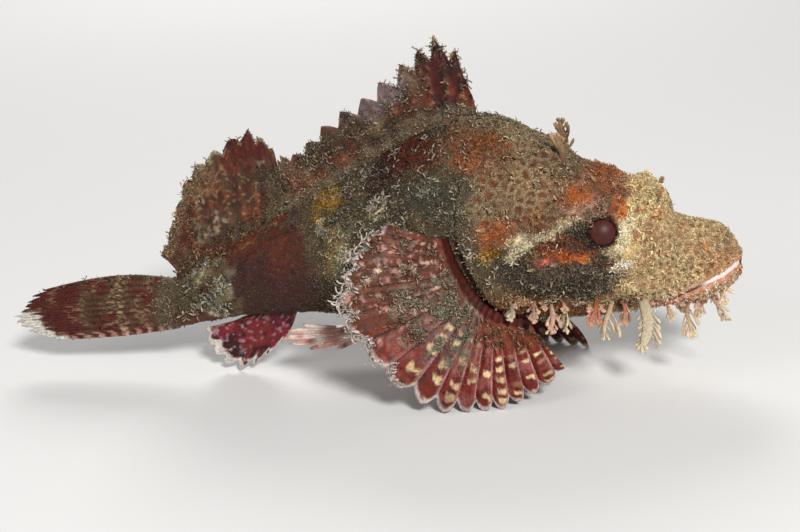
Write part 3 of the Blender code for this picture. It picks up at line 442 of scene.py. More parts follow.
# Patches of colour on the side of the body: x, height, reach along and across,
# tilt in degrees, colour, strength, softness of the rim
PATCHES = (
    (66.0, 40.0, 46.0, 60.0, 0, "tan", 1.0, 0.5),
    (74.0, 40.0, 19.0, 24.0, 0, "sand", 0.9, 0.5),
    (62.5, 47.0, 4.6, 9.0, -20, "butter", 0.6, 0.6),
    (46.0, 52.0, 12.0, 8.0, -14, "brown", 0.6, 0.6),
    (50.0, 55.0, 9.0, 4.4, -14, "rust", 0.35, 0.6),
    (50.0, 56.0, 5.0, 2.2, -10, "orange", 0.3, 0.6),
    (36.0, 51.0, 5.0, 3.0, -10, "orange", 0.35, 0.8),
    (42.0, 46.4, 4.0, 2.4, 10, "rust", 0.5, 0.7),
    (24.0, 56.0, 14.0, 30.0, -10, "grey_green", 0.9, 0.5),
    (4.0, 46.0, 22.0, 26.0, 15, "grey_green", 1.0, 0.4),
    (-38.0, 35.0, 17.5, 24.0, 20, "maroon", 1.0, 0.5),
    (-33.0, 26.0, 18.0, 9.0, 10, "purple", 0.85, 0.5),
    (-40.0, 43.0, 10.0, 5.0, 30, "rust", 0.4, 0.8),
    (-30.0, 36.0, 5.0, 4.0, 30, "rust", 0.35, 0.9),
    (-42.0, 32.0, 4.0, 3.0, 30, "umber", 0.5, 0.9),
    (-34.0, 41.5, 15.0, 0.4, 24, "tan", 0.5, 0.9),
    (-57.0, 22.0, 9.5, 16.0, 0, "grey_green", 1.0, 0.5),
    (-51.6, 21.5, 3.6, 4.4, 10, "pale_green", 0.7, 0.7),
    (-53.0, 18.4, 3.4, 1.4, 10, "cream", 0.6, 0.7),
    (-56.0, 29.6, 3.0, 1.6, 30, "cream", 0.6, 0.7),
    (-58.5, 30.5, 5.0, 3.0, 20, "pale_green", 0.8, 0.5),
    (-58.0, 15.5, 10.0, 3.0, 0, "maroon", 0.9, 0.4),
    (-35.0, 45.0, 4.0, 1.8, 40, "grey_green", 0.9, 0.5),
    (-27.0, 46.4, 2.4, 3.4, 10, "slate", 0.8, 0.6),
    (-44.0, 43.6, 4.6, 1.8, 60, "maroon", 0.9, 0.5),
    (-51.0, 33.4, 3.0, 2.0, 50, "grey_green", 0.9, 0.5),
    (-53.6, 27.0, 3.4, 1.8, 20, "maroon", 0.9, 0.5),
    (-48.6, 25.4, 2.4, 3.0, 40, "pale_green", 0.8, 0.6),
    (-45.4, 20.6, 2.4, 1.6, 30, "grey_green", 0.8, 0.7),
    (-46.0, 30.6, 1.8, 1.4, 30, "pale_green", 0.6, 0.8),
    (-21.6, 40.0, 2.0, 4.0, 10, "grey_green", 0.9, 0.6),
    (3.0, 63.0, 7.5, 4.5, 30, "dark_red", 0.95, 0.4),
    (-2.5, 57.0, 5.0, 4.0, 40, "purple", 0.9, 0.4),
    (9.0, 62.5, 5.0, 3.5, 25, "rust", 0.8, 0.5),
    (24.0, 64.0, 8.5, 4.5, -5, "orange", 0.8, 0.5),
    (27.5, 61.0, 4.0, 5.0, -30, "rust", 0.85, 0.5),
    (17.5, 66.5, 5.0, 3.0, 0, "rust", 0.6, 0.5),
    (-16.6, 50.8, 2.9, 1.5, 40, "mustard", 1.0, 0.5),
    (-18.2, 46.0, 1.5, 2.4, -20, "mustard", 1.0, 0.5),
    (-14.0, 39.0, 1.5, 6.2, 0, "mustard", 1.0, 0.5),
    (12.0, 52.0, 7.0, 4.0, 10, "teal", 0.7, 0.6),
    (-12.0, 38.0, 3.0, 10.0, 0, "pale_green", 0.6, 0.6),
    (2.0, 50.0, 8.0, 3.0, 20, "slate", 0.5, 0.8),
    (-3.0, 51.6, 3.4, 1.0, 32, "cream", 0.8, 0.5),
    (-17.4, 44.6, 1.2, 2.0, -30, "cream", 0.8, 0.5),
    (10.6, 54.6, 2.6, 0.9, 30, "pale_green", 0.8, 0.5),
    (-10.0, 38.0, 1.2, 2.2, -20, "cream", 0.7, 0.5),
    (34.0, 57.0, 9.0, 6.0, -10, "tan", 0.6, 0.7),
    (29.0, 22.0, 10.0, 3.0, -18, "dark_red", 1.0, 0.4),
    (14.0, 22.0, 16.0, 7.0, 0, "maroon", 0.7, 0.6),
    (44.0, 60.5, 10.0, 3.0, -25, "brown", 0.7, 0.5),
    (46.0, 58.6, 2.4, 1.2, -20, "purple", 0.8, 0.5),
    (53.0, 54.4, 7.4, 2.6, -4, "salmon", 0.8, 0.5),
    (54.6, 54.8, 4.6, 1.5, -4, "orange", 0.35, 0.6),
    (54.6, 59.6, 7.0, 2.6, -20, "brown", 0.6, 0.5),
    (47.8, 52.4, 3.2, 1.9, -30, "orange", 1.0, 0.5),
    (44.4, 52.0, 1.8, 1.6, 0, "rust", 0.9, 0.5),
    (57.0, 53.0, 3.4, 1.8, 0, "rust", 0.4, 0.5),
    (58.6, 49.2, 2.3, 2.8, 20, "orange", 1.0, 0.4),
    (56.8, 48.0, 1.5, 1.2, 0, "rust", 0.9, 0.4),
    (50.4, 49.8, 6.4, 1.9, -4, "blush", 0.65, 0.6),
    # Umber under the front of the brow: painted shade
    (60.2, 51.8, 1.6, 1.2, 0, "umber", 0.6, 0.5),
    (40.5, 42.0, 12.0, 4.6, 8, "brown", 0.6, 0.6),
    (36.0, 46.5, 5.0, 3.6, 0, "rust", 0.5, 0.7),
    (27.6, 45.0, 5.2, 4.4, 20, "salmon", 0.75, 0.7),
    (27.6, 46.2, 3.2, 2.4, 10, "orange", 0.6, 0.8),
    (27.0, 40.2, 3.4, 1.8, 10, "mustard", 0.55, 0.6),
    (46.0, 41.0, 8.0, 2.4, -12, "rust", 0.9, 0.45),
    # The next two umber patches, at the eye's rear and lower rims, are painted shadow
    (50.6, 42.8, 4.6, 2.6, -40, "umber", 0.95, 0.5),
    (56.0, 38.4, 3.4, 1.6, 0, "umber", 0.9, 0.5),
    (44.0, 38.6, 4.0, 1.3, -4, "orange", 1.0, 0.4),
    (50.0, 38.4, 1.8, 1.0, 10, "orange", 0.9, 0.5),
    (44.0, 41.6, 5.0, 0.7, -14, "umber", 0.9, 0.6),
    (42.0, 36.4, 5.0, 0.6, -4, "umber", 0.8, 0.6),
    (47.4, 37.0, 9.0, 1.0, -6, "dark_red", 0.95, 0.4),
    (54.0, 36.6, 3.4, 1.0, 3, "dark_red", 0.9, 0.4),
    (40.6, 37.6, 3.0, 1.8, 10, "pink", 0.7, 0.5),
    (47.0, 33.4, 12.0, 3.6, -6, "slate", 0.95, 0.4),
    (34.0, 34.0, 6.0, 4.6, -20, "slate", 0.95, 0.4),
    (46.0, 29.6, 11.0, 2.6, -4, "umber", 0.9, 0.4),
    (40.0, 25.0, 12.0, 2.8, -12, "rust", 0.7, 0.5),
    (60.4, 25.4, 4.0, 2.4, 0, "brown", 0.9, 0.5),
    (60.2, 43.2, 1.8, 4.4, -18, "cream", 1.0, 0.35),
    (58.6, 39.6, 2.6, 1.6, 20, "cream", 0.9, 0.5),
    (59.6, 35.8, 3.2, 0.6, 12, "white", 0.9, 0.4),
    (41.0, 44.2, 6.0, 0.9, 28, "cream", 0.8, 0.5),
    (46.0, 46.8, 3.2, 0.9, 12, "cream", 0.9, 0.4),
    (33.6, 40.2, 4.0, 1.2, 42, "cream", 0.9, 0.5),
    (34.0, 42.6, 3.4, 2.4, 0, "cream", 0.8, 0.6),
    (64.0, 48.4, 1.4, 1.1, 0, "orange", 0.55, 0.5),
    (67.6, 47.0, 1.5, 1.2, 10, "orange", 0.6, 0.5),
    (63.4, 42.0, 1.5, 1.1, 0, "salmon", 0.8, 0.5),
    (61.6, 52.4, 1.6, 1.2, 0, "rust", 0.5, 0.6),
    (66.8, 43.6, 1.2, 1.0, 0, "salmon", 0.55, 0.5),
    (73.8, 42.0, 1.6, 1.2, 0, "orange", 0.5, 0.6),
    (69.6, 38.8, 1.5, 1.2, 0, "salmon", 0.65, 0.5),
    (75.6, 37.0, 1.4, 1.1, 0, "salmon", 0.6, 0.5),
    (64.6, 36.4, 1.2, 1.0, 0, "salmon", 0.55, 0.5),
    (71.0, 33.4, 1.4, 1.0, 0, "salmon", 0.5, 0.5),
    (80.0, 38.0, 1.4, 1.0, 0, "orange", 0.4, 0.6),
    (86.0, 38.0, 4.5, 2.2, -40, "slate", 0.35, 0.7),
    (84.0, 34.6, 5.0, 2.2, 30, "salmon", 0.55, 0.6),
    (76.0, 24.4, 13.0, 3.6, 14, "jaw", 1.0, 0.3),
    (86.5, 28.6, 4.0, 3.0, 50, "jaw", 1.0, 0.4),
)
# Places in the form of a patch without its colour: the pale bars of the jaw, the
# smooth brow over the eye, and the nearly bare rear flank
JAW_BARS = (78.0, 26.0, 12.0, 3.6, 18, 1.0, 0.3)
PLAIN_BROW = (53.4, 53.2, 8.0, 3.2, -4, 1.0, 0.5)
BARE_FLANK = (-38.0, 33.0, 18.0, 22.0, 20, 1.0, 0.7)
WARP = 1.1
RICHNESS = 1.15


def patch_share(points, warp, at_x, at_z, reach_x, reach_z, tilt, strength, rim):
    """How far a patch covers each point, from 0 to 1."""
    dx = points[..., 0] + warp[..., 0] - at_x
    dz = points[..., 2] + warp[..., 1] - at_z
    c = math.cos(math.radians(tilt))
    s = math.sin(math.radians(tilt))
    far = np.sqrt(((dx * c + dz * s) / reach_x) ** 2 + ((dz * c - dx * s) / reach_z) ** 2)
    return strength * smooth((1.0 + rim * 0.5 - far) / rim)


def drift(field, points, size, seeds):
    """Two fields side by side, which shift the rims of patches along and up."""
    return np.stack([field(points, size, seed) for seed in seeds], axis=-1)


def slow_drift(points):
    """The wide shift of rims that paint and cover have in common."""
    return drift(clouds, points, 3.0, (3, 9))


def body_paint(points):
    """Markings of the body, the same for the skin and for what grows on it."""
    x, z = points[..., 0], points[..., 2]
    behind = ramp_down(x, 26.0, 12.0)[..., None]
    warp = slow_drift(points) * (WARP * (1.0 + 1.3 * behind))
    warp += drift(noise, points, 0.9, (5, 6)) * 0.9
    warp += drift(noise, points, 7.0, (7, 8)) * 2.4 * behind
    colour = full(points.shape[:-1], "grey_green")
    for *where, name, strength, rim in PATCHES:
        colour = mix(colour, INK[name], patch_share(points, warp, *where, strength, rim))
    bars = smooth((np.sin(x * 2.3 + z * 0.9 + noise(points, 3.0, 15) * 1.5) - 0.1) / 0.4)
    bars = (bars * patch_share(points, warp, *JAW_BARS))[..., None]
    colour = colour * (1.0 - bars * 0.85) + INK["white"] * bars * 0.85
    speck = (1.0 + 0.4 * clouds(points, 1.3, 12)) * (1.0 + 0.3 * clouds(points, 6.0, 14))
    warm = 1.0 + 0.10 * clouds(points, 4.0, 17)[..., None] * np.array((1.0, 0.1, -1.0))
    colour = colour * speck[..., None] * warm
    grey = colour.mean(axis=-1, keepdims=True)
    return np.clip(grey + (colour - grey) * RICHNESS, 0.0, 1.0)


# Cover of small curled filaments: x, height, reach along and across, tilt in degrees,
# filaments for each square millimetre, softness of the rim
COVER = (
    (20.0, 50.0, 80.0, 60.0, 0, 3.9, 0.3),
    (70.0, 40.0, 45.0, 60.0, 0, 3.1, 0.3),
    (-38.0, 34.0, 18.0, 24.0, 20, 1.6, 0.5),
    (-55.5, 21.0, 9.0, 12.0, 0, 3.4, 0.3),
    (-50.0, 15.0, 16.0, 3.6, 4, 0.15, 0.3),
    (28.0, 20.0, 10.0, 2.4, -18, 0.1, 0.3),
    (10.0, 20.0, 24.0, 6.5, 0, 0.3, 0.4),
    (3.0, 62.5, 8.0, 4.0, 30, 2.6, 0.5),
    (47.0, 39.6, 9.0, 2.6, -6, 4.0, 0.4),
    (42.0, 44.8, 9.0, 1.2, 28, 8.0, 0.6),
    (33.4, 40.4, 4.0, 1.6, 42, 9.0, 0.6),
    (60.4, 43.2, 2.2, 4.8, -18, 7.0, 0.4),
    (60.0, 35.8, 4.0, 0.9, 12, 7.0, 0.5),
    (51.5, 42.8, 4.2, 3.0, -40, 2.4, 0.4),
    (46.0, 29.6, 12.0, 3.0, -4, 3.4, 0.4),
    (77.0, 25.2, 14.0, 3.8, 16, 1.6, 0.3),
    (58.4, 49.2, 2.5, 2.8, 20, 1.2, 0.4),
)


def cover_of(points, warp, table):
    """Number for each square millimetre that a table of cover gives at each point."""
    amounts = np.zeros(points.shape[:-1])
    for *where, amount, rim in table:
        share = patch_share(points, warp, *where, 1.0, rim)
        amounts = amounts * (1.0 - share) + amount * share
    return amounts


class Heap:
    """Points, faces, colours and bake places of one piece, gathered in any number of lots."""

    def __init__(self):
        self.points = []
        self.faces = []
        self.colours = []
        self.places = []
        self.count = 0

    def add(self, points, faces, colours, places):
        """places has one (u, v) for each corner of each face, in the order of the faces."""
        self.points.append(points.reshape(-1, 3))
        self.colours.append(colours.reshape(-1, 3))
        for group, where in zip(faces, places):
            self.faces.append(group + self.count)
            self.places.append(where)
        self.count += len(points.reshape(-1, 3))

    def build(self, name, mat, slot, replaced=()):
        """Makes the piece, with its colours, its bake map and what it replaces."""
        mesh = bpy.data.meshes.new(name)
        points = np.concatenate(self.points) * MM + SHIFT
        mesh.vertices.add(len(points))
        mesh.vertices.foreach_set("co", points.astype(np.float32).ravel())
        corners = np.concatenate([group.ravel() for group in self.faces]).astype(np.int32)
        sizes = np.concatenate([np.full(len(group), group.shape[1]) for group in self.faces])
        mesh.loops.add(len(corners))
        mesh.loops.foreach_set("vertex_index", corners)
        mesh.polygons.add(len(sizes))
        starts = np.concatenate(((0,), np.cumsum(sizes)[:-1])).astype(np.int32)
        mesh.polygons.foreach_set("loop_start", starts)
        mesh.polygons.foreach_set("use_smooth", np.ones(len(sizes), dtype=bool))
        mesh.update(calc_edges=True)
        paint = mesh.color_attributes.new("Paint", "FLOAT_COLOR", "POINT")
        colours = np.concatenate(self.colours)
        colours = np.concatenate((np.clip(colours, 0.0, 1.0), np.ones((len(colours), 1))), axis=1)
        paint.data.foreach_set("color", colours.astype(np.float32).ravel())
        uv = mesh.uv_layers.new(name="OFBake")
        places = np.concatenate([where.reshape(-1, 2) for where in self.places])
        uv.data.foreach_set("uv", places.astype(np.float32).ravel())
        mesh.materials.append(mat)
        obj = bpy.data.objects.new(name, mesh)
        bpy.context.scene.collection.objects.link(obj)
        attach(obj, "root")
        if replaced:
            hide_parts(*replaced)
        return obj


def grid_faces(rows, columns, closed):
    """Quads of a grid, and the place of each of their corners on the unit square."""
    wide = columns if closed else columns - 1
    i, j = np.meshgrid(np.arange(rows - 1), np.arange(wide), indexing="ij")
    i, j = i.ravel(), j.ravel()
    corner_i = np.stack((i, i + 1, i + 1, i), axis=1)
    corner_j = np.stack((j, j, j + 1, j + 1), axis=1)
    faces = corner_i * columns + corner_j % columns
    places = np.stack((corner_i / (rows - 1.0), corner_j / wide), axis=-1)
    return faces, places


def fan_faces(ring, tip, place, flip):
    """Triangles from a closed ring of point numbers to one point."""
    following = np.roll(ring, -1)
    order = (following, ring) if flip else (ring, following)
    faces = np.stack(order + (np.full(len(ring), tip),), axis=1)
    return faces, np.broadcast_to(np.array(place), (len(ring), 3, 2))


def tubes(paths, across, half_width, half_thick, sides, colours, places, size=BAKE_SPOT):
    """Flattened tapered tubes along paths, each closed at its root and ending in a point.

    paths is (number, steps, 3) and its last step is the tip. across points along the
    width, and half_width, half_thick and colours go with the steps before the tip.
    """
    n, steps = paths.shape[:2]
    heading = unit(np.gradient(paths, axis=1))
    across = unit(across - heading * (across * heading).sum(-1, keepdims=True))
    over = np.cross(heading, across)
    turn = 2.0 * np.pi * np.arange(sides) / sides
    rings = paths[:, :-1, None, :] + (
        across[:, :-1, None, :] * np.cos(turn)[None, None, :, None] * half_width[..., None, None]
        + over[:, :-1, None, :] * np.sin(turn)[None, None, :, None] * half_thick[..., None, None]
    )
    points = np.concatenate((rings.reshape(n, -1, 3), paths[:, -1:, :]), axis=1)
    tint = np.repeat(colours[:, :-1, :], sides, axis=1)
    tint = np.concatenate((tint, colours[:, -1:, :]), axis=1)
    per = (steps - 1) * sides + 1
    i, j = np.meshgrid(np.arange(steps - 2), np.arange(sides), indexing="ij")
    i, j = i.ravel(), j.ravel()
    here, beside = i * sides + j, i * sides + (j + 1) % sides
    quad = np.stack((here, beside, beside + sides, here + sides), axis=1)
    last = (steps - 2) * sides
    k = np.arange(sides)
    tri = np.stack((last + k, last + (k + 1) % sides, np.full(sides, per - 1)), axis=1)
    cap = k[::-1][None, :]
    spot = np.zeros((per, 2))
    spot[:-1, 0] = np.repeat(np.arange(steps - 1) / (steps - 1.0), sides)
    spot[:-1, 1] = np.tile(k / sides, steps - 1)
    spot[-1] = (1.0, 0.5)
    faces = []
    where = []
    for group in (quad, tri, cap):
        faces.append((np.arange(n)[:, None, None] * per + group[None]).reshape(-1, group.shape[1]))
        local = places[:, None, None, :] + (spot[group][None] - 0.5) * size
        where.append(local.reshape(-1, group.shape[1], 2))
    return points, faces, tint, where


class Surface:
    """A grid of points with the fields needed to grow things on it."""

    def __init__(self, points, closed, colours, cover, length, extent=(1.0, 1.0), out=None):
        """extent is the grid's size on the bake map, and out a way that its normals face."""
        self.points = points
        self.closed = closed
        self.normal, self.along, _ = grid_normals(points, closed)
        if out is not None and (self.normal * np.array(out)).sum() < 0.0:
            self.normal = -self.normal
        self.colours = colours
        self.cover = cover
        self.length = length
        self.extent = np.array(extent)

    def scatter(self):
        """Random roots, one lot of arrays, as many in each cell as its cover asks for."""
        p = self.points
        rows, columns = p.shape[:2]
        wide = columns if self.closed else columns - 1
        i, j = np.meshgrid(np.arange(rows - 1), np.arange(wide), indexing="ij")
        i, j = i.ravel(), j.ravel()
        k = (j + 1) % columns
        area = 0.5 * np.linalg.norm(np.cross(p[i + 1, k] - p[i, j], p[i + 1, j] - p[i, k]), axis=-1)
        wanted = area * self.cover[i, j]
        number = np.floor(wanted + DICE.random(len(wanted))).astype(int)
        i, j, k = np.repeat(i, number), np.repeat(j, number), np.repeat(k, number)
        a = DICE.random(len(i))[:, None]
        b = DICE.random(len(i))[:, None]

        def blend(field):
            """Values of a field at the roots."""
            start = field[i, j] * (1.0 - b) + field[i, k] * b
            return start * (1.0 - a) + (field[i + 1, j] * (1.0 - b) + field[i + 1, k] * b) * a

        place = np.stack(((i + a[:, 0]) / (rows - 1.0), (j + b[:, 0]) / wide), axis=1)
        return {
            "root": blend(p), "normal": unit(blend(self.normal)), "along": unit(blend(self.along)),
            "colour": blend(self.colours), "length": blend(self.length[..., None])[:, 0],
            "place": place * self.extent,
        }


def paled(tone, lot, share):
    """Colours mixed toward cream, less where the root's own colour is strong."""
    share = share * (1.0 - 0.5 * vivid(lot["colour"]))[:, None, None]
    return tone * (1.0 - share) + INK["cream"] * share


def filaments(lot, radius, pale, curled=True):
    """Small filaments, one from each root of a lot, curled over or bent once."""
    n = len(lot["root"])
    normal, along = lot["normal"], lot["along"]
    turn = DICE.uniform(0.0, 2.0 * np.pi, n)[:, None]
    lie = unit(along * (np.cos(turn) - 0.35) + np.cross(normal, along) * np.sin(turn))
    side = np.cross(normal, lie) * DICE.choice((-1.0, 1.0), n)[:, None]
    length = (lot["length"] * DICE.uniform(0.65, 1.3, n))[:, None]
    rise = DICE.uniform(0.45, 0.8, n)[:, None]
    hook = DICE.uniform(-0.1, 0.4, n)[:, None]
    root = lot["root"]
    bend = root + (normal * 0.9 * rise + lie * 0.42 + side * 0.22) * length
    tip = root + (normal * (0.6 * rise - hook) + lie * 0.3 + side * 0.6) * length
    steps = [root - normal * 0.25, bend, tip]
    # In both forms the steps' tone is darker at the root, painted shade among the filaments, and brighter
    # toward the tip
    taper, dark, light = (1.2, 0.95), (0.3, 1.0, 1.5), (0.0, 0.6, 1.0)
    if curled:
        steps.insert(1, root + (normal * 0.6 * rise + lie * 0.1) * length)
        taper, dark, light = (1.15, 1.0, 0.9), (0.3, 0.75, 1.3, 1.6), (0.0, 0.3, 0.8, 1.0)
    paths = np.stack(steps, axis=1)
    ways = np.broadcast_to(side[:, None, :], paths.shape)
    thick = radius * DICE.uniform(0.75, 1.3, n)[:, None] * np.array(taper)
    shade = (0.5 + 1.5 * DICE.uniform(0.0, 1.0, n) ** 3)[:, None, None]
    tone = lot["colour"][:, None, :] * np.array(dark)[None, :, None] * shade
    share = pale * DICE.uniform(0.0, 1.0, n)[:, None, None] ** 2 * np.array(light)[None, :, None]
    return tubes(paths, ways, thick, thick * 0.8, 3, paled(tone, lot, share), lot["place"])


def vivid(colours):
    """How strong colours are, from 0 for greys and creams to 1 for reds and oranges."""
    top = colours.max(axis=-1)
    return smooth(((top - colours.min(axis=-1)) / np.maximum(top, 0.001) - 0.72) / 0.2)


def papillae(lot, width, pale):
    """Short leaning points of skin, one from each root of a lot."""
    n = len(lot["root"])
    normal, along = lot["normal"], lot["along"]
    turn = DICE.uniform(0.0, 2.0 * np.pi, n)[:, None]
    lie = along * (np.cos(turn) - 0.3) + np.cross(normal, along) * np.sin(turn)
    length = (lot["length"] * DICE.uniform(0.5, 1.1, n))[:, None]
    way = unit(normal * DICE.uniform(0.4, 1.2, n)[:, None] + lie)
    paths = np.stack((lot["root"] - normal * 0.15, lot["root"] + way * length), axis=1)
    ways = np.broadcast_to(np.cross(normal, lie)[:, None, :], paths.shape)
    wide = width * DICE.uniform(0.6, 1.4, n)[:, None]
    shade = (0.5 + 1.3 * DICE.uniform(0.0, 1.0, n) ** 2)[:, None, None]
    # Darker at the root, painted shade between the points, and brighter at the tip
    tone = lot["colour"][:, None, :] * np.array((0.35, 1.3))[None, :, None] * shade
    share = pale * DICE.uniform(0.0, 0.7, n)[:, None, None] * np.array((0.0, 1.0))[None, :, None]
    return tubes(paths, ways, wide, wide * 0.5, 3, paled(tone, lot, share), lot["place"])


def frills(lot, width, pale, share_of_pale):
    """Larger curled flaps, each with a side branch, flat and pale toward the tip."""
    n = len(lot["root"])
    normal, along = lot["normal"], lot["along"]
    across = np.cross(normal, along)
    turn = DICE.uniform(0.0, 2.0 * np.pi, n)[:, None]
    lie = unit(along * (np.cos(turn) - 0.5) + across * np.sin(turn))
    side = np.cross(normal, lie) * DICE.choice((-1.0, 1.0), n)[:, None]
    length = (lot["length"] * DICE.uniform(0.3, 1.4, n))[:, None]
    lots = []
    shade = DICE.uniform(0.45, 1.35, n)[:, None, None]
    light = share_of_pale * DICE.uniform(0.0, 1.0, n)[:, None, None]
    for branch, reach, sway in ((0, 1.0, 1.0), (1, 0.7, -1.0)):
        s = np.array((-0.2, 0.25, 0.6, 0.9, 1.0))[None, :, None]
        curl = side[:, None, :] * sway
        size = length[:, None, :] * reach
        lift = np.sin(s * 2.2) * 0.55
        path = lot["root"][:, None, :] + normal[:, None, :] * lift * size + lie[:, None, :] * s * size * 0.75
        path = path + curl * s * s * size * 0.95
        if branch:
            path = path + (normal * length * 0.22 + lie * length * 0.12)[:, None, :]
        shape = np.array((0.8, 0.7, 0.9, 1.15)) * (1.0 - 0.2 * branch)
        wide = width * DICE.uniform(0.45, 1.5, n)[:, None] * shape * (lot["length"] / 1.3)[:, None]
        # Darker at the root, painted shade among the frills, and brighter toward the tip
        tone = lot["colour"][:, None, :] * np.array((0.4, 0.7, 1.0, 1.2, 1.2))[None, :, None] * shade
        mixing = light * np.array((0.0, 0.3, 0.7, 1.0, 1.0))[None, :, None]
        tone = tone * (1.0 - mixing) + pale * mixing
        ways = np.broadcast_to(np.cross(normal, lie)[:, None, :], path.shape)
        lots.append(tubes(path, ways, wide, wide * 0.35, 3, tone, lot["place"]))
    return lots


def bezier(points, t):
    """Points of Bezier curves of any order; points is (..., order + 1, 3)."""
    while points.shape[-2] > 1:
        points = points[..., :-1, :] * (1.0 - t[..., None, None]) + points[..., 1:, :] * t[..., None, None]
    return points[..., 0, :]


def cad_tree(*names):
    """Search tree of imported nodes, in the tables' millimetres."""
    points = []
    faces = []
    for name in names:
        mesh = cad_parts[name].data
        start = len(points)
        points.extend(Vector((np.array(v.co) - SHIFT) / MM) for v in mesh.vertices)
        faces.extend([start + k for k in poly.vertices] for poly in mesh.polygons)
    return BVHTree.FromPolygons(points, faces)


def grid_tree(points):
    """Search tree of a closed grid of points."""
    faces, _ = grid_faces(points.shape[0], points.shape[1], True)
    return BVHTree.FromPolygons(points.reshape(-1, 3).tolist(), faces.tolist())


GAP = 0.3
ROOT_GAP = 0.45
UP = Vector((0.0, 0.0, 1.0))
DOWN = -UP
CLEAR = 200.0
# Spines and rays of the fins in the middle plane: x of the base, x and height of the tip
DORSAL_SPINES = (
    (21.8, 19.4, 79.6), (18.6, 17.2, 88.2), (15.4, 11.6, 92.0), (11.6, 7.2, 88.4),
    (7.4, 2.6, 84.9), (2.8, -3.0, 80.2), (-2.0, -8.0, 76.2), (-7.0, -13.8, 73.0),
    (-12.2, -19.2, 69.0), (-17.2, -23.6, 64.6), (-22.0, -27.2, 61.4), (-26.8, -31.0, 61.6),
)
DORSAL_WEB = ((-29.0, -31.6, 60.2), (-31.4, -32.6, 57.0))
SOFT_DORSAL_RAYS = (
    (-31.0, -32.4, 62.6), (-34.5, -35.4, 66.2), (-38.0, -39.0, 68.0), (-41.5, -44.4, 65.8),
    (-45.0, -49.6, 62.2), (-48.5, -54.4, 58.6), (-52.0, -58.0, 53.8), (-55.4, -60.6, 47.6),
    (-58.6, -62.8, 41.4), (-61.8, -66.2, 33.4),
)
ANAL_RAYS = (
    (-29.5, -34.4, 8.6), (-31.8, -38.6, 4.8), (-34.2, -42.6, 2.0), (-36.6, -46.8, 0.0),
    (-39.0, -50.6, 2.2), (-41.4, -53.6, 5.0), (-43.6, -55.4, 8.4), (-45.6, -55.8, 12.6),
)
TAIL_RAYS = (
    (12.6, 9.3, -98.6, 8.9), (13.8, 11.6, -104.0, 10.0), (15.2, 13.6, -107.2, 11.2),
    (16.6, 15.4, -109.4, 12.6), (18.0, 17.2, -110.6, 14.2), (19.4, 19.0, -110.9, 15.6),
    (20.8, 20.8, -109.8, 17.0), (22.2, 22.8, -108.2, 18.6), (23.6, 24.8, -106.4, 20.2),
    (25.2, 27.0, -104.8, 21.8), (26.8, 29.9, -101.8, 23.4),
)
PECTORAL_RAYS = 17
PECTORAL_TURN = (80.0, 152.0)
PECTORAL_BEHIND = 3.4
PECTORAL_STALK = 3.4
PECTORAL_TIPS = np.array((
    (2.6, 29.5, 50.2), (-3.6, 33.0, 46.6), (-7.4, 36.0, 41.0), (-9.4, 37.0, 33.0),
    (-6.4, 37.0, 23.2), (0.8, 34.5, 11.6), (8.8, 31.0, 4.0), (16.0, 28.5, 0.0),
    (22.9, 27.0, 0.0), (29.0, 25.5, 0.0), (34.6, 23.5, 2.4), (39.0, 21.5, 4.4),
    (44.6, 18.0, 8.4),
))
PECTORAL_BULGE = 6.5
PECTORAL_ARCH = 2.0
FAR_SPREAD = 4.5
FAR_SPLAY = 2.7
FAR_DROP = 9.0
FRONT_BEND = 4.5
PELVIC_RAYS = (
    (2.0, 9.0, -25.0, 8.6, 17.0), (1.4, 10.2, -29.4, 10.4, 15.6), (0.8, 11.4, -30.4, 12.2, 14.2),
    (0.2, 12.4, -28.4, 13.8, 12.8), (-0.4, 13.2, -22.5, 15.0, 12.0), (-1.0, 13.9, -14.5, 15.8, 12.2),
)
FIN_SINK = 1.9
# Form of each kind of fin: steps between two rays, rows from root to rim, depth of the
# notches at the first and the last ray, height of the rays, half thickness of the web,
# raggedness of the rim, seed of its noise, sharpness of the notches
FIN_FORMS = {
    "spiny_dorsal_fin": (9, 54, (0.30, 0.16), 0.55, 0.14, 0.02, 91, 1.2),
    "soft_dorsal_fin": (9, 50, (0.10, 0.08), 0.4, 0.13, 0.02, 92, 2.2),
    "anal_fin": (9, 44, (0.20, 0.10), 0.35, 0.13, 0.02, 93, 2.2),
    "caudal_fin": (9, 60, (0.05, 0.05), 0.4, 0.14, 0.015, 94, 2.2),
    "pectoral_fin": (11, 54, (0.04, 0.14), 0.4, 0.13, 0.012, 95, 2.2),
    "pelvic_fin": (9, 40, (0.06, 0.14), 0.35, 0.13, 0.015, 96, 2.2),
}


def ridge_height(tree, x, half, upward):
    """Height of the body's edge at x, the outermost of three lines across it."""
    heights = []
    for y in (-half, 0.0, half):
        start = Vector((x, y, CLEAR if upward else -CLEAR))
        hit = tree.ray_cast(start, DOWN if upward else UP)[0]
        if hit is not None:
            heights.append(hit.z)
    return max(heights) if upward else min(heights)


def median_rays(tree, table, lean, half, upward):
    """Root, bend and tip of each ray of a fin in the middle plane."""
    rays = []
    for base_x, tip_x, tip_z in table:
        z = ridge_height(tree, base_x, half, upward) + (GAP if upward else -GAP)
        root = np.array((base_x, 0.0, z))
        tip = np.array((tip_x, 0.0, tip_z))
        bend = root * 0.45 + tip * 0.55
        bend[0] += lean
        rays.append((root, bend, tip))
    return np.array(rays)


def tail_rays():
    """Root, bend and tip of each ray of the tail fin, from its lower edge up."""
    rays = []
    for base_z, bend_z, tip_x, tip_z in TAIL_RAYS:
        rays.append(((X_TAIL - GAP, 0.0, base_z), (X_TAIL - 15.0, 0.8, bend_z), (tip_x, 0.0, tip_z)))
    return np.array(rays)


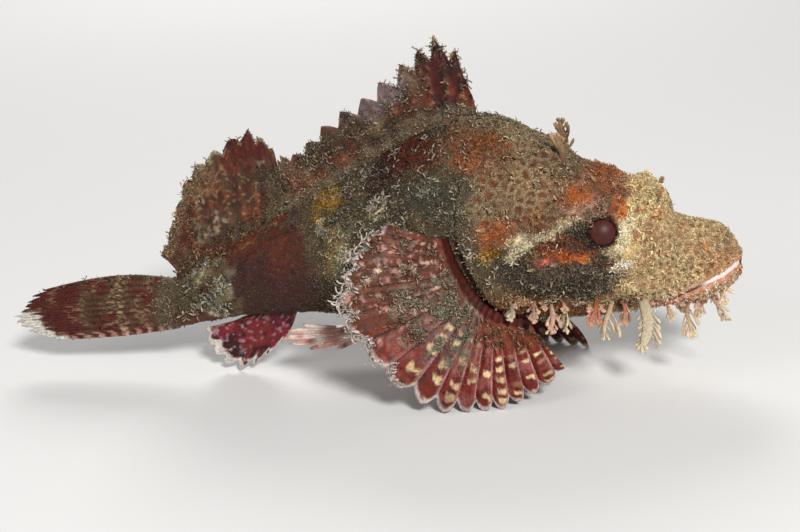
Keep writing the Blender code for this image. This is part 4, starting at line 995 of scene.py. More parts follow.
def pectoral_rays(tree, side):
    """Root, stalk, bend and tip of each ray of a pectoral fan, from the top down."""
    rays = []
    for k in range(PECTORAL_RAYS):
        t = k / (PECTORAL_RAYS - 1.0)
        turn = PECTORAL_TURN[0] + (PECTORAL_TURN[1] - PECTORAL_TURN[0]) * t
        edge = read_table(GILL_EDGE, np.array(turn), 1)
        spot = body_points(np.array([edge - PECTORAL_BEHIND]), np.array([turn]), 0.0, np.zeros(1))[0]
        hit, normal = tree.find_nearest(Vector((spot[0], side * spot[1], spot[2])))[:2]
        root = np.array(hit + normal * ROOT_GAP)
        stalk = root + np.array(normal) * PECTORAL_STALK
        place = t * (len(PECTORAL_TIPS) - 1)
        numbers = np.arange(len(PECTORAL_TIPS))
        tip = np.array([np.interp(place, numbers, PECTORAL_TIPS[:, axis]) for axis in range(3)])
        low = max(0.0, t - 0.35) / 0.65
        front = max(0.0, t - 0.7) / 0.3
        if side > 0.0:
            tip += (FAR_SPREAD * low, FAR_SPLAY * low, 0.0)
            tip[2] = max(0.0, tip[2] - FAR_DROP * low)
        tip[1] *= side
        bend = (stalk + tip) / 2.0
        bend += (FRONT_BEND * front * front, side * PECTORAL_BULGE, PECTORAL_ARCH * (1.0 - t))
        rays.append((root, stalk, bend, tip))
    return np.array(rays)


def pelvic_rays(tree, side):
    """Root, stalk, bend and tip of each ray of a pelvic fin."""
    rays = []
    for base_x, base_y, tip_x, tip_y, tip_z in PELVIC_RAYS:
        hit, normal = tree.ray_cast(Vector((base_x, side * base_y, -CLEAR)), UP)[:2]
        root = np.array(hit + normal * ROOT_GAP)
        stalk = root + np.array(normal) * 2.4
        tip = np.array((tip_x, side * tip_y, tip_z))
        bend = root * 0.6 + tip * 0.4 - (0.0, 0.0, 1.7)
        rays.append((root, stalk, bend, tip))
    return np.array(rays)


def skin_hit(tree, x, out, z):
    """Nearest point of the skin, its normal, and its place on the skin's own grid."""
    spot, normal, number = tree.find_nearest(Vector((x, out, z)))[:3]
    place = np.array((number // SKIN_COLUMNS / SKIN_ROWS, number % SKIN_COLUMNS / SKIN_COLUMNS))
    return np.array(spot), np.array(normal), place


class Fin:
    """Fine two-sided sheet through a fin's rays, with its ray and margin forms."""

    def __init__(self, kind, rays, out, rise_of):
        """out points away from the front face, and rise_of lifts the petals' edges."""
        petals, rows, notch, ray_height, web, frill, seed, point = FIN_FORMS[kind]
        count = len(rays)
        shares = np.concatenate(((0.02,), np.linspace(0.1, 0.9, petals), (0.98,)))
        place = (np.arange(count)[:, None] - 0.5 + shares[None, :]).ravel()
        place = place[(place >= 0.0) & (place <= count - 1.0)]
        place = np.unique(np.concatenate(((0.0,), place, (count - 1.0,))))
        i = np.minimum(place.astype(int), count - 2)
        f = (place - i)[:, None, None]
        controls = rays[i] * (1.0 - f) + rays[i + 1] * f
        petal = np.mod(place + 0.5, 1.0)
        petal[-1] = 0.5
        run = place / (count - 1.0)
        cut = (notch[0] + (notch[1] - notch[0]) * run) * np.abs(2.0 * petal - 1.0) ** point
        ragged = np.stack((place * 3.1, np.zeros_like(place), np.zeros_like(place)), axis=-1)
        kept = 1.0 - cut + frill * noise(ragged, 1.0, seed)
        t = np.linspace(0.0, 1.0, rows)[None, :] ** 0.92
        reach = t * kept[:, None]
        sheet = bezier(np.broadcast_to(controls[:, None], reach.shape + controls.shape[1:]), reach)
        first = sheet[:, :1] - unit(sheet[:, 1:2] - sheet[:, :1]) * FIN_SINK
        sheet = np.concatenate((first, sheet), axis=1)
        self.t = np.concatenate((np.zeros((1, 1)), t), axis=1) * np.ones((len(place), 1))
        self.reach = np.concatenate((np.zeros((len(place), 1)), reach), axis=1)
        self.petal = petal[:, None] * np.ones_like(self.t)
        self.run = run[:, None] * np.ones_like(self.t)
        self.place = place[:, None] * np.ones_like(self.t)
        normal = grid_normals(sheet, False)[0]
        if (normal * np.array(out)).sum() < 0.0:
            normal = -normal
        whole = np.round(self.place).astype(int).clip(0, count - 1)
        gap = np.linalg.norm(np.diff(rays[:, -1], axis=0), axis=1).mean() * np.maximum(self.t, 0.12)
        from_ray = np.abs(self.place - whole) * gap
        fork = ramp_up(self.t, 0.5, 0.3) * 0.22 * gap
        from_ray = np.abs(from_ray - fork)
        thick = ray_height * (1.0 - 0.55 * self.t)
        ridge = thick * np.exp(-(from_ray / 0.32) ** 2)
        segments = 1.0 + 0.12 * np.sin(self.t * 150.0) * (self.t > 0.3)
        self.ridge = ridge / max(ray_height, 0.01)
        lift = rise_of(self.run) * ramp_up(self.t, 0.2, 0.3) * (2.0 * self.petal - 1.0)
        ripple = 0.22 * clouds(sheet, 5.0, seed + 3) * self.t
        flesh = 0.9 * np.exp(-self.t / 0.07)
        half = web + flesh + ridge * segments
        edge = np.minimum(1.0, (1.0 - self.t) / 0.02 + 0.25)
        half = half * edge
        self.out = normal
        self.front = sheet + normal * (lift + ripple + half)[..., None]
        self.back = sheet + normal * (lift + ripple - half)[..., None]


def add_sheet(heap, front, back, front_tint, back_tint, origin, extent):
    """Closed thin solid between two grids of points, its rows running out from the root."""
    columns, rows = front.shape[:2]
    ring = np.concatenate((front, back[:, ::-1]), axis=1)
    tint = np.concatenate((front_tint, back_tint[:, ::-1]), axis=1)
    ring[..., 2] = np.maximum(ring[..., 2], 0.02)
    faces, places = grid_faces(columns, 2 * rows, True)
    ends = []
    spots = []
    for column, order in ((0, 1), (columns - 1, -1)):
        base = column * 2 * rows
        r = np.arange(rows - 1)
        quad = np.stack((base + r, base + r + 1, base + 2 * rows - 2 - r, base + 2 * rows - 1 - r), axis=1)
        ends.append(quad[:, ::order])
        spots.append(np.full((rows - 1, 4, 2), 0.999 * column / columns))
    where = [np.array(origin) + spot * np.array(extent) for spot in [places] + spots]
    heap.add(ring, [faces] + ends, tint, where)


def lathe(heap, centre, axis, profile, tones, sides, place, size=BAKE_SPOT):
    """Closed surface turned round an axis; profile is (radius, height) from top to foot."""
    z = unit(np.array(axis, dtype=float))
    x = unit(np.cross(z, (0.31, 0.2, 0.93)))
    y = np.cross(z, x)
    turn = 2.0 * np.pi * np.arange(sides) / sides
    round_it = np.cos(turn)[:, None] * x + np.sin(turn)[:, None] * y
    radius = np.array([row[0] for row in profile])
    height = np.array([row[1] for row in profile])
    rings = np.array(centre) + radius[:, None, None] * round_it[None] + height[:, None, None] * z
    points = np.concatenate((rings.reshape(-1, 3), (np.array(centre) + height[0] * z)[None],
                             (np.array(centre) + height[-1] * z)[None]))
    tint = np.repeat(tones, sides, axis=0)
    tint = np.concatenate((tint, tones[:1], tones[-1:]))
    faces, spots = grid_faces(len(profile), sides, True)
    number = len(profile) * sides
    top, top_at = fan_faces(np.arange(sides), number, place, False)
    foot, foot_at = fan_faces(np.arange(number - sides, number), number + 1, place, True)
    spots = np.array(place) + (spots - 0.5) * size
    heap.add(points, [faces, top, foot], tint, [spots, top_at, foot_at])


# Skin flaps of one side: x, out and height of the root, then length, width,
# lean along x and number of lobes down each edge
CHEEK_FLAPS = (
    (64.6, 14.6, 26.1, 13.4, 6.8, -0.1, 4), (59.3, 15.4, 25.8, 6.0, 2.6, 0.0, 2),
    (56.8, 16.2, 25.0, 10.0, 5.0, -0.04, 3), (52.9, 16.8, 26.4, 6.4, 4.4, -0.25, 3),
    (45.2, 17.6, 25.4, 7.4, 4.6, 0.06, 3), (41.2, 17.8, 26.2, 7.6, 5.0, -0.06, 3),
    (36.6, 18.4, 28.2, 5.6, 3.4, 0.0, 2), (31.4, 19.2, 27.2, 5.0, 3.0, -0.2, 2),
)
CHIN_FLAPS = (
    (75.6, 9.4, 22.8, 9.4, 3.8, 0.0, 3), (82.0, 7.6, 24.4, 7.4, 3.0, 0.35, 2),
    (70.8, 10.8, 22.2, 4.0, 2.4, 0.0, 2), (79.0, 4.0, 21.8, 4.4, 2.6, 0.1, 2),
)
BROW_FLAPS = ((45.0, 8.8, 61.4, 7.0, 2.4, -0.16, 3), (68.4, 7.0, 50.4, 2.2, 1.4, 0.2, 1))
# Head spines of one side: x, out and height of the foot, then the lean and length
HEAD_SPINES = (
    (64.6, 5.6, 54.6, (0.2, 0.2, 1.0), 2.6), (58.4, 9.8, 57.0, (-0.2, 0.4, 1.0), 2.6),
    (53.0, 10.4, 59.4, (-0.5, 0.3, 1.0), 3.0), (48.6, 10.0, 60.2, (-0.8, 0.3, 0.9), 2.8),
    (41.0, 9.0, 63.4, (-0.9, 0.3, 0.8), 3.2), (33.0, 10.2, 67.4, (-1.0, 0.3, 0.7), 3.2),
    (58.0, 17.6, 37.4, (-0.6, 1.0, 0.0), 2.2), (50.4, 19.6, 37.4, (-0.8, 1.0, 0.0), 2.6),
    (42.6, 20.4, 37.0, (-1.0, 0.9, 0.0), 2.8), (37.6, 20.8, 36.0, (-1.0, 0.8, 0.1), 4.2),
    (37.8, 20.4, 31.4, (-1.0, 0.7, -0.3), 3.2), (39.6, 19.2, 27.0, (-0.8, 0.6, -0.6), 2.8),
    (43.0, 17.4, 23.6, (-0.5, 0.5, -0.9), 2.4), (24.6, 22.4, 46.0, (-1.0, 0.5, 0.2), 3.6),
    (26.6, 22.2, 38.6, (-1.0, 0.6, 0.0), 3.4),
)
NOSTRIL = (66.6, 8.4, 48.6)
# Profile of a spine: radius, share of its height; then the foot sunk in the skin
SPINE_PROFILE = ((0.08, 1.0), (0.2, 0.86), (0.36, 0.55), (0.6, 0.2))
SPINE_FOOT = (0.9, -1.2)
# Share of a spine's length that stands clear of the skin
SPINE_SHARE = 0.42
# Profile of a nostril from the hollow middle over its rim: radius, height
NOSTRIL_PROFILE = (
    (0.04, -0.2), (0.2, 0.2), (0.25, 0.8), (0.36, 1.05), (0.5, 0.95), (0.55, 0.4), (0.7, -0.8),
)
# A finger of skin: places of its steps along it, and its width at each but the last
FINGER_STEPS = np.array((-0.12, 0.08, 0.3, 0.55, 0.78, 0.92, 1.0))
FINGER_CLUB = np.array((0.8, 0.62, 0.62, 0.85, 1.2, 0.85))
# The stem of a flap in the same way, with the depth of its two steps below the skin
STEM_STEPS = np.array((0.0, 0.0, 0.08, 0.22, 0.4, 0.58, 0.76, 0.88, 0.93))
STEM_SUNK = (-1.4, -0.5)
STEM_WIDE = np.array((1.2, 1.1, 0.9, 1.05, 1.1, 1.0, 0.85, 0.6))
STEM_THICK = 0.3 * np.array((1.3, 1.3, 1.1, 1.0, 1.0, 0.9, 0.8, 0.6))
SIDES_OF_FISH = (-1.0, 1.0)
# Foot of the row of small flaps below the cheek and the jaw: x, out, height
FLAP_LINE = np.array((
    (31.0, 19.0, 27.6), (38.0, 18.4, 26.6), (47.0, 17.6, 25.2), (58.0, 16.0, 24.8),
    (66.0, 14.0, 24.2), (74.0, 10.6, 22.8), (83.0, 7.0, 24.6),
))


def finger(start, way, bend, length, width):
    """Path and half widths of one finger of skin with a rounded club end."""
    s = FINGER_STEPS[:, None]
    path = start + way * length * s + bend * length * s * s
    return path, FINGER_CLUB * width / 2.0


def tassel(heap, tree, row, side, hang, stand, inner, outer, broad=0.13, comb=False):
    """Branching flap of skin: a stem with club-ended fingers down both edges."""
    x, out, z, length, width, lean, lobes = row
    root, skin_way, place = skin_hit(tree, x, side * out, z)
    way = unit(np.array(hang) + (lean, 0.0, 0.0) + skin_way * stand)
    face = np.array((DICE.uniform(-0.5, 0.5), side, 0.0))
    across = unit(np.cross(way, face))
    across = across * (1.0 if across[0] >= 0.0 else -1.0)
    normal = np.cross(way, across)
    share = STEM_STEPS
    s = share * length
    s[:2] = STEM_SUNK
    sway = np.sin(share * 4.0 + DICE.uniform(0.0, 6.0)) * 0.09 * length
    bow = np.sin(share * 3.0 + DICE.uniform(0.0, 6.0)) * 0.06 * length
    path = root + way * s[:, None] + across * (sway - sway[0])[:, None] + normal * (bow - bow[0])[:, None]
    stem = max(0.42, broad * width)
    wide = stem * STEM_WIDE
    tint = inner * (1.0 - share[:, None]) + (0.35 * inner + 0.65 * outer) * share[:, None]
    ways = np.broadcast_to(across, path.shape)[None]
    heap.add(*tubes(path[None], ways, wide[None], STEM_THICK[None], 8, tint[None], place[None]))
    paths, widths, tints = [], [], []
    count = 2 * lobes + (4 if comb else 1)
    for k in range(count):
        edge = 1.0 if k % 2 == 0 else -1.0
        at = 0.2 + 0.66 * (k + DICE.uniform(0.1, 0.9)) / count
        reach = (1.02 - at) * length * DICE.uniform(0.6, 0.95)
        spread = across * edge * DICE.uniform(0.35, 0.95) + way * DICE.uniform(0.6, 1.0)
        bend = way * DICE.uniform(0.0, 0.4) - across * edge * DICE.uniform(0.0, 0.5)
        if comb:
            reach = width * (DICE.uniform(0.42, 0.6) if edge > 0.0 else DICE.uniform(0.2, 0.32))
            spread = across * edge + way * DICE.uniform(0.2, 0.6)
            bend = way * DICE.uniform(0.2, 0.6)
        middle = root + way * at * length + across * np.interp(at, share, sway - sway[0])
        start = middle + normal * np.interp(at, share, bow - bow[0]) + across * edge * stem * 0.5
        spread = unit(spread + normal * DICE.uniform(-0.5, 0.5))
        bend = bend + normal * DICE.uniform(-0.3, 0.3)
        path, wide = finger(start, spread, bend, max(0.5, reach), DICE.uniform(0.55, 1.1))
        paths.append(path)
        widths.append(wide)
        blush = DICE.uniform(0.1, 0.6)
        body = inner * blush + outer * (1.0 - blush)
        tints.append(np.linspace(0.55, 1.25, len(FINGER_STEPS))[:, None] * body)
    end = root + way * length * 0.84 + across * (sway[-1] - sway[0]) + normal * (bow[-1] - bow[0])
    for k in range(3):
        spread = way + across * ((k - 1) * 0.7 + DICE.uniform(-0.3, 0.3))
        spread = unit(spread + normal * DICE.uniform(-0.4, 0.4))
        reach = length * 0.16 + DICE.uniform(0.2, 0.8)
        path, wide = finger(end, spread, way * 0.1, reach, DICE.uniform(0.6, 1.2))
        paths.append(path)
        widths.append(wide)
        tints.append(np.linspace(0.7, 1.2, len(FINGER_STEPS))[:, None] * (0.2 * inner + 0.8 * outer))
    paths, widths = np.array(paths), np.array(widths)
    ways = np.broadcast_to(np.cross(normal, unit(paths[:, -1] - paths[:, 0]))[:, None, :], paths.shape)
    spots = np.broadcast_to(place, (len(paths), 2)) + DICE.uniform(-0.004, 0.004, (len(paths), 2))
    heap.add(*tubes(paths, ways, widths, widths * 0.6, 6, np.array(tints), spots))


def small_flaps():
    """Rows of small flaps below the cheek and the jaw, in the form of CHEEK_FLAPS."""
    rows = []
    for x in np.arange(31.5, 83.0, 4.6):
        x = x + DICE.uniform(-1.5, 1.5)
        out, z = (np.interp(x, FLAP_LINE[:, 0], FLAP_LINE[:, k]) for k in (1, 2))
        length = DICE.uniform(0.8, 3.0)
        rows.append((x, out, z + DICE.uniform(-0.4, 0.8), length, 0.75 * length, DICE.uniform(-0.3, 0.3), 1))
    return rows


def make_flaps(tree, mat):
    """The skin flaps of cheek, chin and brow, and the small ones between them."""
    heap = Heap()
    cream, pink = INK["cream"] * 0.9, INK["pink"]
    flesh = pink * 0.5 + cream * 0.5
    tones = (
        (INK["slate"] * 0.35 + cream * 0.5, cream * 0.85 + INK["lilac"] * 0.12),
        (INK["rust"], flesh), (flesh * 0.7, cream),
        (INK["rust"], INK["orange"] * 0.5 + flesh * 0.5), (INK["brown"], cream), (flesh * 0.6, flesh * 1.1),
        (INK["brown"], flesh), (INK["slate"], cream * 0.9),
    )
    upward, downward = (0.0, 0.0, 1.0), (0.0, 0.0, -1.0)
    for side in SIDES_OF_FISH:
        for k, (row, tone) in enumerate(zip(CHEEK_FLAPS, tones)):
            tassel(heap, tree, row, side, downward, 0.12, *tone, 0.13 if k else 0.22, k == 0)
        for row in CHIN_FLAPS:
            tassel(heap, tree, row, side, downward, 0.12, INK["jaw"] * 0.6, cream)
        for row in BROW_FLAPS:
            tassel(heap, tree, row, side, upward, 0.12, INK["brown"], INK["tan"], 0.36)
        for row in small_flaps():
            tassel(heap, tree, row, side, downward, 0.35, INK["rust"] * 0.5 + flesh * 0.3, flesh)
    return heap.build("skin_flaps", mat, "head_skin")


def make_head_forms(tree, mat):
    """Head spines and the short tubes of the nostrils."""
    heap = Heap()
    for side in SIDES_OF_FISH:
        for x, out, z, lean, length in HEAD_SPINES:
            hit, _, place = skin_hit(tree, x, side * out, z)
            way = unit(mirrored(lean, side))
            tone = body_paint(hit[None])[0]
            tone = mix(tone, INK["tan"], 0.5)
            tall = SPINE_SHARE * length
            profile = [(radius, share * tall) for radius, share in SPINE_PROFILE] + [SPINE_FOOT]
            tip = tone * 0.7 + INK["sand"] * 0.3
            tints = np.stack((tip, tip, tone, tone * 0.7, tone * 0.4))
            lathe(heap, hit, way, profile, tints, 10, place)
        hit, way, place = skin_hit(tree, NOSTRIL[0], side * NOSTRIL[1], NOSTRIL[2])
        # Painted shade: dark umber in the nostril's hollow middle
        dark, light = INK["umber"] * 0.4, INK["sand"]
        tints = np.stack((dark, dark, INK["umber"], light, light, light * 0.8, light * 0.5))
        lathe(heap, hit, way, NOSTRIL_PROFILE, tints, 14, place)
    return heap.build("head_spines", mat, "head_skin")


def make_eye(side, name, mat):
    """One eyeball, dark in the middle, with a ring of painted shade where the lids meet it."""
    heap = Heap()
    facing = unit(mirrored(EYE_FACING, side))
    angle = np.radians(np.linspace(*EYE_SPAN, EYE_STEPS))
    tones = full((EYE_STEPS,), "eye")
    radial = EYE_RADIUS * np.sin(angle)
    # Painted shade: the dark ring colour on the ball where the lids meet it
    tones = np.where((radial > EYE_SHADE_RING)[:, None], INK["ring"], tones)
    tones = np.where((radial < EYE_MIDDLE)[:, None], INK["eye"] * 0.8, tones)
    tones = tones * (1.0 + 0.1 * np.sin(radial * 3.0))[:, None]
    profile = list(zip(radial, EYE_RADIUS * np.cos(angle)))
    lathe(heap, mirrored(EYE, side), facing, profile, tones, EYE_SIDES, (0.5, 0.5), 0.98)
    return heap.build(name + "_ball", mat, "eye", (name,))


def make_lids(mat):
    """Smooth rims of the eyelids."""
    heap = Heap()
    for side in SIDES_OF_FISH:
        facing = unit(mirrored(EYE_FACING, side))
        first = unit(np.cross(facing, (0.0, 0.0, 1.0)))
        second = np.cross(facing, first)
        turn = np.linspace(0.0, 2.0 * np.pi, LID_STEPS)[:, None, None]
        roll = np.linspace(0.0, 2.0 * np.pi, LID_ROLL_STEPS)[None, :, None]
        spoke = first * np.cos(turn) + second * np.sin(turn)
        wobble = 0.06 * np.sin(turn * 11.0) + 0.05 * np.sin(turn * 17.0 + 1.0)
        tube = (LID_THICK + wobble) * np.ones_like(roll)
        out = LID_RADIUS + tube * np.cos(roll)
        ring = mirrored(EYE, side) + spoke * out + facing * (LID_HEIGHT + tube * np.sin(roll))
        # Painted shade: the lids take the body's paint darkened to 0.3, going to the dark ring colour at
        # their inner edge
        tone = mix(body_paint(ring) * 0.3, INK["ring"], ramp_down(out[..., 0], 4.0, 0.5))
        faces, spots = grid_faces(LID_STEPS, LID_ROLL_STEPS, False)
        heap.add(ring, [faces], tone, [np.array((0.5, 0.5 - 0.25 * side)) + (spots - 0.5) * 0.48])
    return heap.build("eyelids", mat, "head_skin")


LINING_DEPTH = 1.5
LINING_HALF_THICK = 0.55
# Last two points of the lining, at the front of the mouth, so that its halves meet
LINING_FRONT = ((88.1, 1.6, 32.9), (88.3, 0.0, 33.0))


def make_lining(mat):
    """Smooth band that shows between the lips, round the front of the mouth."""
    xs = np.concatenate((np.linspace(66.0, 88.3, 46), (88.9, 89.1)))
    turn = mouth_turn(xs)
    flare = np.zeros_like(xs)
    spine = body_points(xs, turn, LINING_DEPTH, flare)
    near = body_points(xs, turn + 4.0, LINING_DEPTH, flare) - spine
    spine[-2:] = LINING_FRONT
    near[-2:] = (0.0, 0.0, -1.0)
    half = np.interp(xs, MOUTH[:, 0], MOUTH[:, 2]) + 0.55
    pale = ramp_up(xs, 78.0, 3.0)[:, None]
    tone = INK["dark_red"] * (1.0 - pale) + (INK["white"] * 0.55 + INK["lilac"] * 0.45) * pale
    mirror = np.array((1.0, -1.0, 1.0))
    path = np.concatenate((spine * mirror, spine[-2::-1]))
    across = np.concatenate((near * mirror, near[-2::-1]))
    half = np.concatenate((half, half[-2::-1]))[:-1]
    tone = np.concatenate((tone, tone[-2::-1]))
    thick = np.full((1, len(half)), LINING_HALF_THICK)
    middle = np.array(((0.5, 0.5),))
    heap = Heap()
    heap.add(*tubes(path[None], across[None], half[None], thick, 16, tone[None], middle, 0.96))
    return heap.build("mouth_band", mat, "mouth_lining", ("mouth_lining",))


# Painted materials: name, roughness, bump, wetness, mottle, gloss
PAINTED = {
    "skin": ("painted_skin", 0.6, 0.35, 0.0, 0.25, 0.2),
    "coat": ("painted_coat", 0.6, 0.0, 0.0, 0.12, 0.2),
    "fin": ("painted_fin", 0.55, 0.3, 0.02, 0.3, 0.2),
    "flap": ("painted_flaps", 0.6, 0.25, 0.0, 0.25, 0.25),
    "lid": ("painted_lids", 0.85, 0.2, 0.0, 0.25, 0.12),
    "eye": ("painted_eye", 0.45, 0.0, 0.0, 0.08, 0.22),
    "lining": ("painted_lining", 0.35, 0.1, 0.5, 0.05, 0.5),
}
GRAIN_SCALE = 1800.0
GRAIN_DEPTH = 0.0002


def set_inputs(node, values):
    """Sets the inputs of a shading node by name."""
    for name, value in values.items():
        node.inputs[name].default_value = value


def new_material(name):
    """An empty material and its shader."""
    mat = bpy.data.materials.new(name)
    mat.use_nodes = True
    return mat, mat.node_tree.nodes["Principled BSDF"]


def build_material(name, roughness, bump, wet, mottle, gloss):
    """Painted skin: the mesh's own colours under a fine procedural mottle and bump."""
    mat, shader = new_material(name)
    nodes = mat.node_tree.nodes
    links = mat.node_tree.links
    paint = nodes.new("ShaderNodeAttribute")
    paint.attribute_name = "Paint"
    coords = nodes.new("ShaderNodeTexCoord")
    grain = nodes.new("ShaderNodeTexNoise")
    set_inputs(grain, {"Scale": GRAIN_SCALE, "Detail": 3.0})
    links.new(coords.outputs["Object"], grain.inputs["Vector"])
    scale = nodes.new("ShaderNodeMapRange")
    set_inputs(scale, {"From Min": 0.3, "From Max": 0.7, "To Min": 1.0 - mottle, "To Max": 1.0 + mottle})
    links.new(grain.outputs["Fac"], scale.inputs["Value"])
    tint = nodes.new("ShaderNodeVectorMath")
    tint.operation = "SCALE"
    links.new(paint.outputs["Color"], tint.inputs[0])
    links.new(scale.outputs["Result"], tint.inputs["Scale"])
    links.new(tint.outputs["Vector"], shader.inputs["Base Color"])
    set_inputs(shader, {
        "Roughness": roughness, "Specular IOR Level": gloss, "Coat Weight": wet, "Coat Roughness": 0.25,
    })
    if bump:
        relief = nodes.new("ShaderNodeBump")
        set_inputs(relief, {"Strength": bump, "Distance": GRAIN_DEPTH})
        links.new(grain.outputs["Fac"], relief.inputs["Height"])
        links.new(relief.outputs["Normal"], shader.inputs["Normal"])
    return mat


def spots_field(place, petal, t, rows_apart, seed):
    """Squarish blotches in rows near the front edge of each ray, from 0 to 1."""
    whole = np.round(place)
    offset = 0.35 * np.sin(whole * 2.4)
    q = np.stack((whole, np.floor(t / rows_apart + offset), np.zeros_like(t)), axis=-1)
    here = noise(q * 3.7, 1.0, seed)
    across = np.abs(petal - 0.62) / 0.26
    along = np.abs(np.mod(t / rows_apart + offset, 1.0) - 0.5) * 2.0
    shape = ramp_down(across, 1.0, 0.3) * ramp_down(along, 0.5, 0.15)
    return shape * ramp_up(here, -0.3, 0.3)


def paint_pectoral(fin):
    """Colours of a pectoral fan: netted above, rows of pale blotches on the lower rays."""
    run, t, petal = fin.run, fin.t, fin.petal
    p = fin.front
    blotch = clouds(p, 4.0, 31)
    ragged = 0.06 * noise(p, 1.1, 32)
    c = full(t.shape, "red")
    c = mix(c, INK["dark_red"], ramp_up(blotch, -0.1, 0.4) * 0.75)
    # Pink patches: a painted sheen on the red
    c = mix(c, INK["pink"] * 0.8, ramp_up(noise(p, 2.2, 36), 0.2, 0.3) * 0.5)
    upper = ramp_down(run, 0.44, 0.16)
    c = mix(c, INK["brown"] * 0.7 + INK["rust"] * 0.3, upper * 0.75)
    wave = fin.place * 3.14
    net = np.sin(wave + t * 34.0 + blotch * 4.0) * np.sin(wave - t * 34.0 + noise(p, 2.0, 37) * 3.0)
    pale = upper * ramp_up(t, 0.2, 0.1) * ramp_up(noise(p, 5.0, 39), -0.5, 0.4)
    c = mix(c, INK["blush"] * 0.9, pale * ramp_up(net, 0.2, 0.2) * 0.8)
    scales = pale * smooth((net * (1.0 + blotch) - 0.66) / 0.1) * ramp_up(noise(p, 0.8, 40), -0.15, 0.15)
    c = mix(c, INK["cream"], scales * 0.6)
    dusk = ramp_up(noise(p, 1.4, 34), 0.1, 0.3) * ramp_down(run, 0.62, 0.1)
    c = mix(c, INK["slate"] * 0.8, dusk * 0.55)
    lower = ramp_up(run, 0.34, 0.12)
    marks = spots_field(fin.place, petal + 0.5 * ragged, fin.reach + ragged * 0.4, 0.095, 33)
    c = mix(c, INK["butter"], lower * marks * ramp_up(t, 0.4, 0.06) * ramp_down(t, 0.97, 0.03) * 0.9)
    edge = ramp_up(petal, 0.86, 0.08) * ramp_up(t, 0.45, 0.2)
    c = mix(c, INK["blush"] * 0.75 + INK["lilac"] * 0.25, lower * edge * 0.7)
    middle = smooth((0.24 - np.abs(run - 0.42) + ragged) / 0.1) * smooth((0.76 - t + 2.0 * ragged) / 0.15)
    clump = 0.25 + 0.75 * ramp_up(noise(p, 1.6, 84), -0.1, 0.3)
    c = mix(c, INK["slate"] * 0.5 + INK["pale_green"] * 0.5, middle * clump * 0.9)
    front = ramp_up(run, 0.58, 0.1) * smooth((0.52 - t + ragged) / 0.12)
    c = mix(c, INK["rust"] * 0.7 + INK["brown"] * 0.3, front * 0.9)
    # Dark plum line on the shaded side of each petal, where the next overlaps: painted shade
    gap = ramp_down(petal, 0.12, 0.1) * ramp_up(t, 0.3, 0.1)
    c = mix(c, INK["plum"] * 0.6, gap * (1.0 - 0.6 * upper) * 0.85)
    rim = smooth((t - 0.95 + 0.2 * ragged) / 0.03)
    c = mix(c, INK["white"] * 0.6 + INK["lilac"] * 0.4, rim * 0.75)
    root = smooth((0.17 - t + 0.3 * ragged) / 0.05)
    c = mix(c, INK["dark_red"] * 0.5, root * 0.95)
    speck = (1.0 + 0.35 * clouds(p, 1.0, 35)) * (1.0 + 0.2 * noise(p, 5.0, 38))
    return c * speck[..., None] * (0.8 + 0.25 * fin.ridge[..., None] * (1.0 - upper[..., None]))


def paint_spiny(fin):
    """Colours of the spiny back fin: red in front, grey toward the rim behind."""
    run, t, p = fin.run, fin.t, fin.front
    blotch = clouds(p, 5.0, 41)
    front = smooth((0.3 - run + 0.06 * blotch) / 0.08)
    c = full(t.shape, "brown")
    c = mix(c, INK["tan"], ramp_up(blotch, 0.05, 0.3) * 0.7)
    c = mix(c, INK["rust"], ramp_up(noise(p, 4.0, 42), 0.2, 0.3) * 0.6)
    red = mix(full(t.shape, "dark_red") * 0.8, INK["rust"] * 0.8, ramp_up(blotch, -0.1, 0.3))
    red = mix(red * 0.85, INK["umber"], ramp_up(noise(p, 2.0, 46), -0.1, 0.3) * 0.75)
    c = c * (1.0 - front[..., None]) + red * front[..., None]
    veil = smooth((t - 0.58 + 0.25 * blotch) / 0.15) * ramp_up(run, 0.26, 0.08)
    rear = ramp_up(run, 0.42, 0.2)
    c = mix(c, INK["grey_lilac"] * (0.85 - 0.25 * rear[..., None]), veil * (0.85 - 0.65 * rear))
    bands = smooth((np.sin(t * 34.0 + noise(p, 3.0, 43) * 2.5) - 0.5) / 0.4)
    c = mix(c, INK["tan"], bands * fin.ridge * 0.5)
    c = mix(c, INK["sand"], ramp_up(t, 0.93, 0.05) * smooth(noise(p, 0.9, 49) / 0.3) * (0.8 - 0.5 * rear))
    c = mix(c, INK["grey_green"], ramp_down(t, 0.2, 0.12) * 0.6)
    return c * (1.0 + 0.4 * clouds(p, 1.3, 44))[..., None] * (0.62 + 0.3 * fin.ridge[..., None])


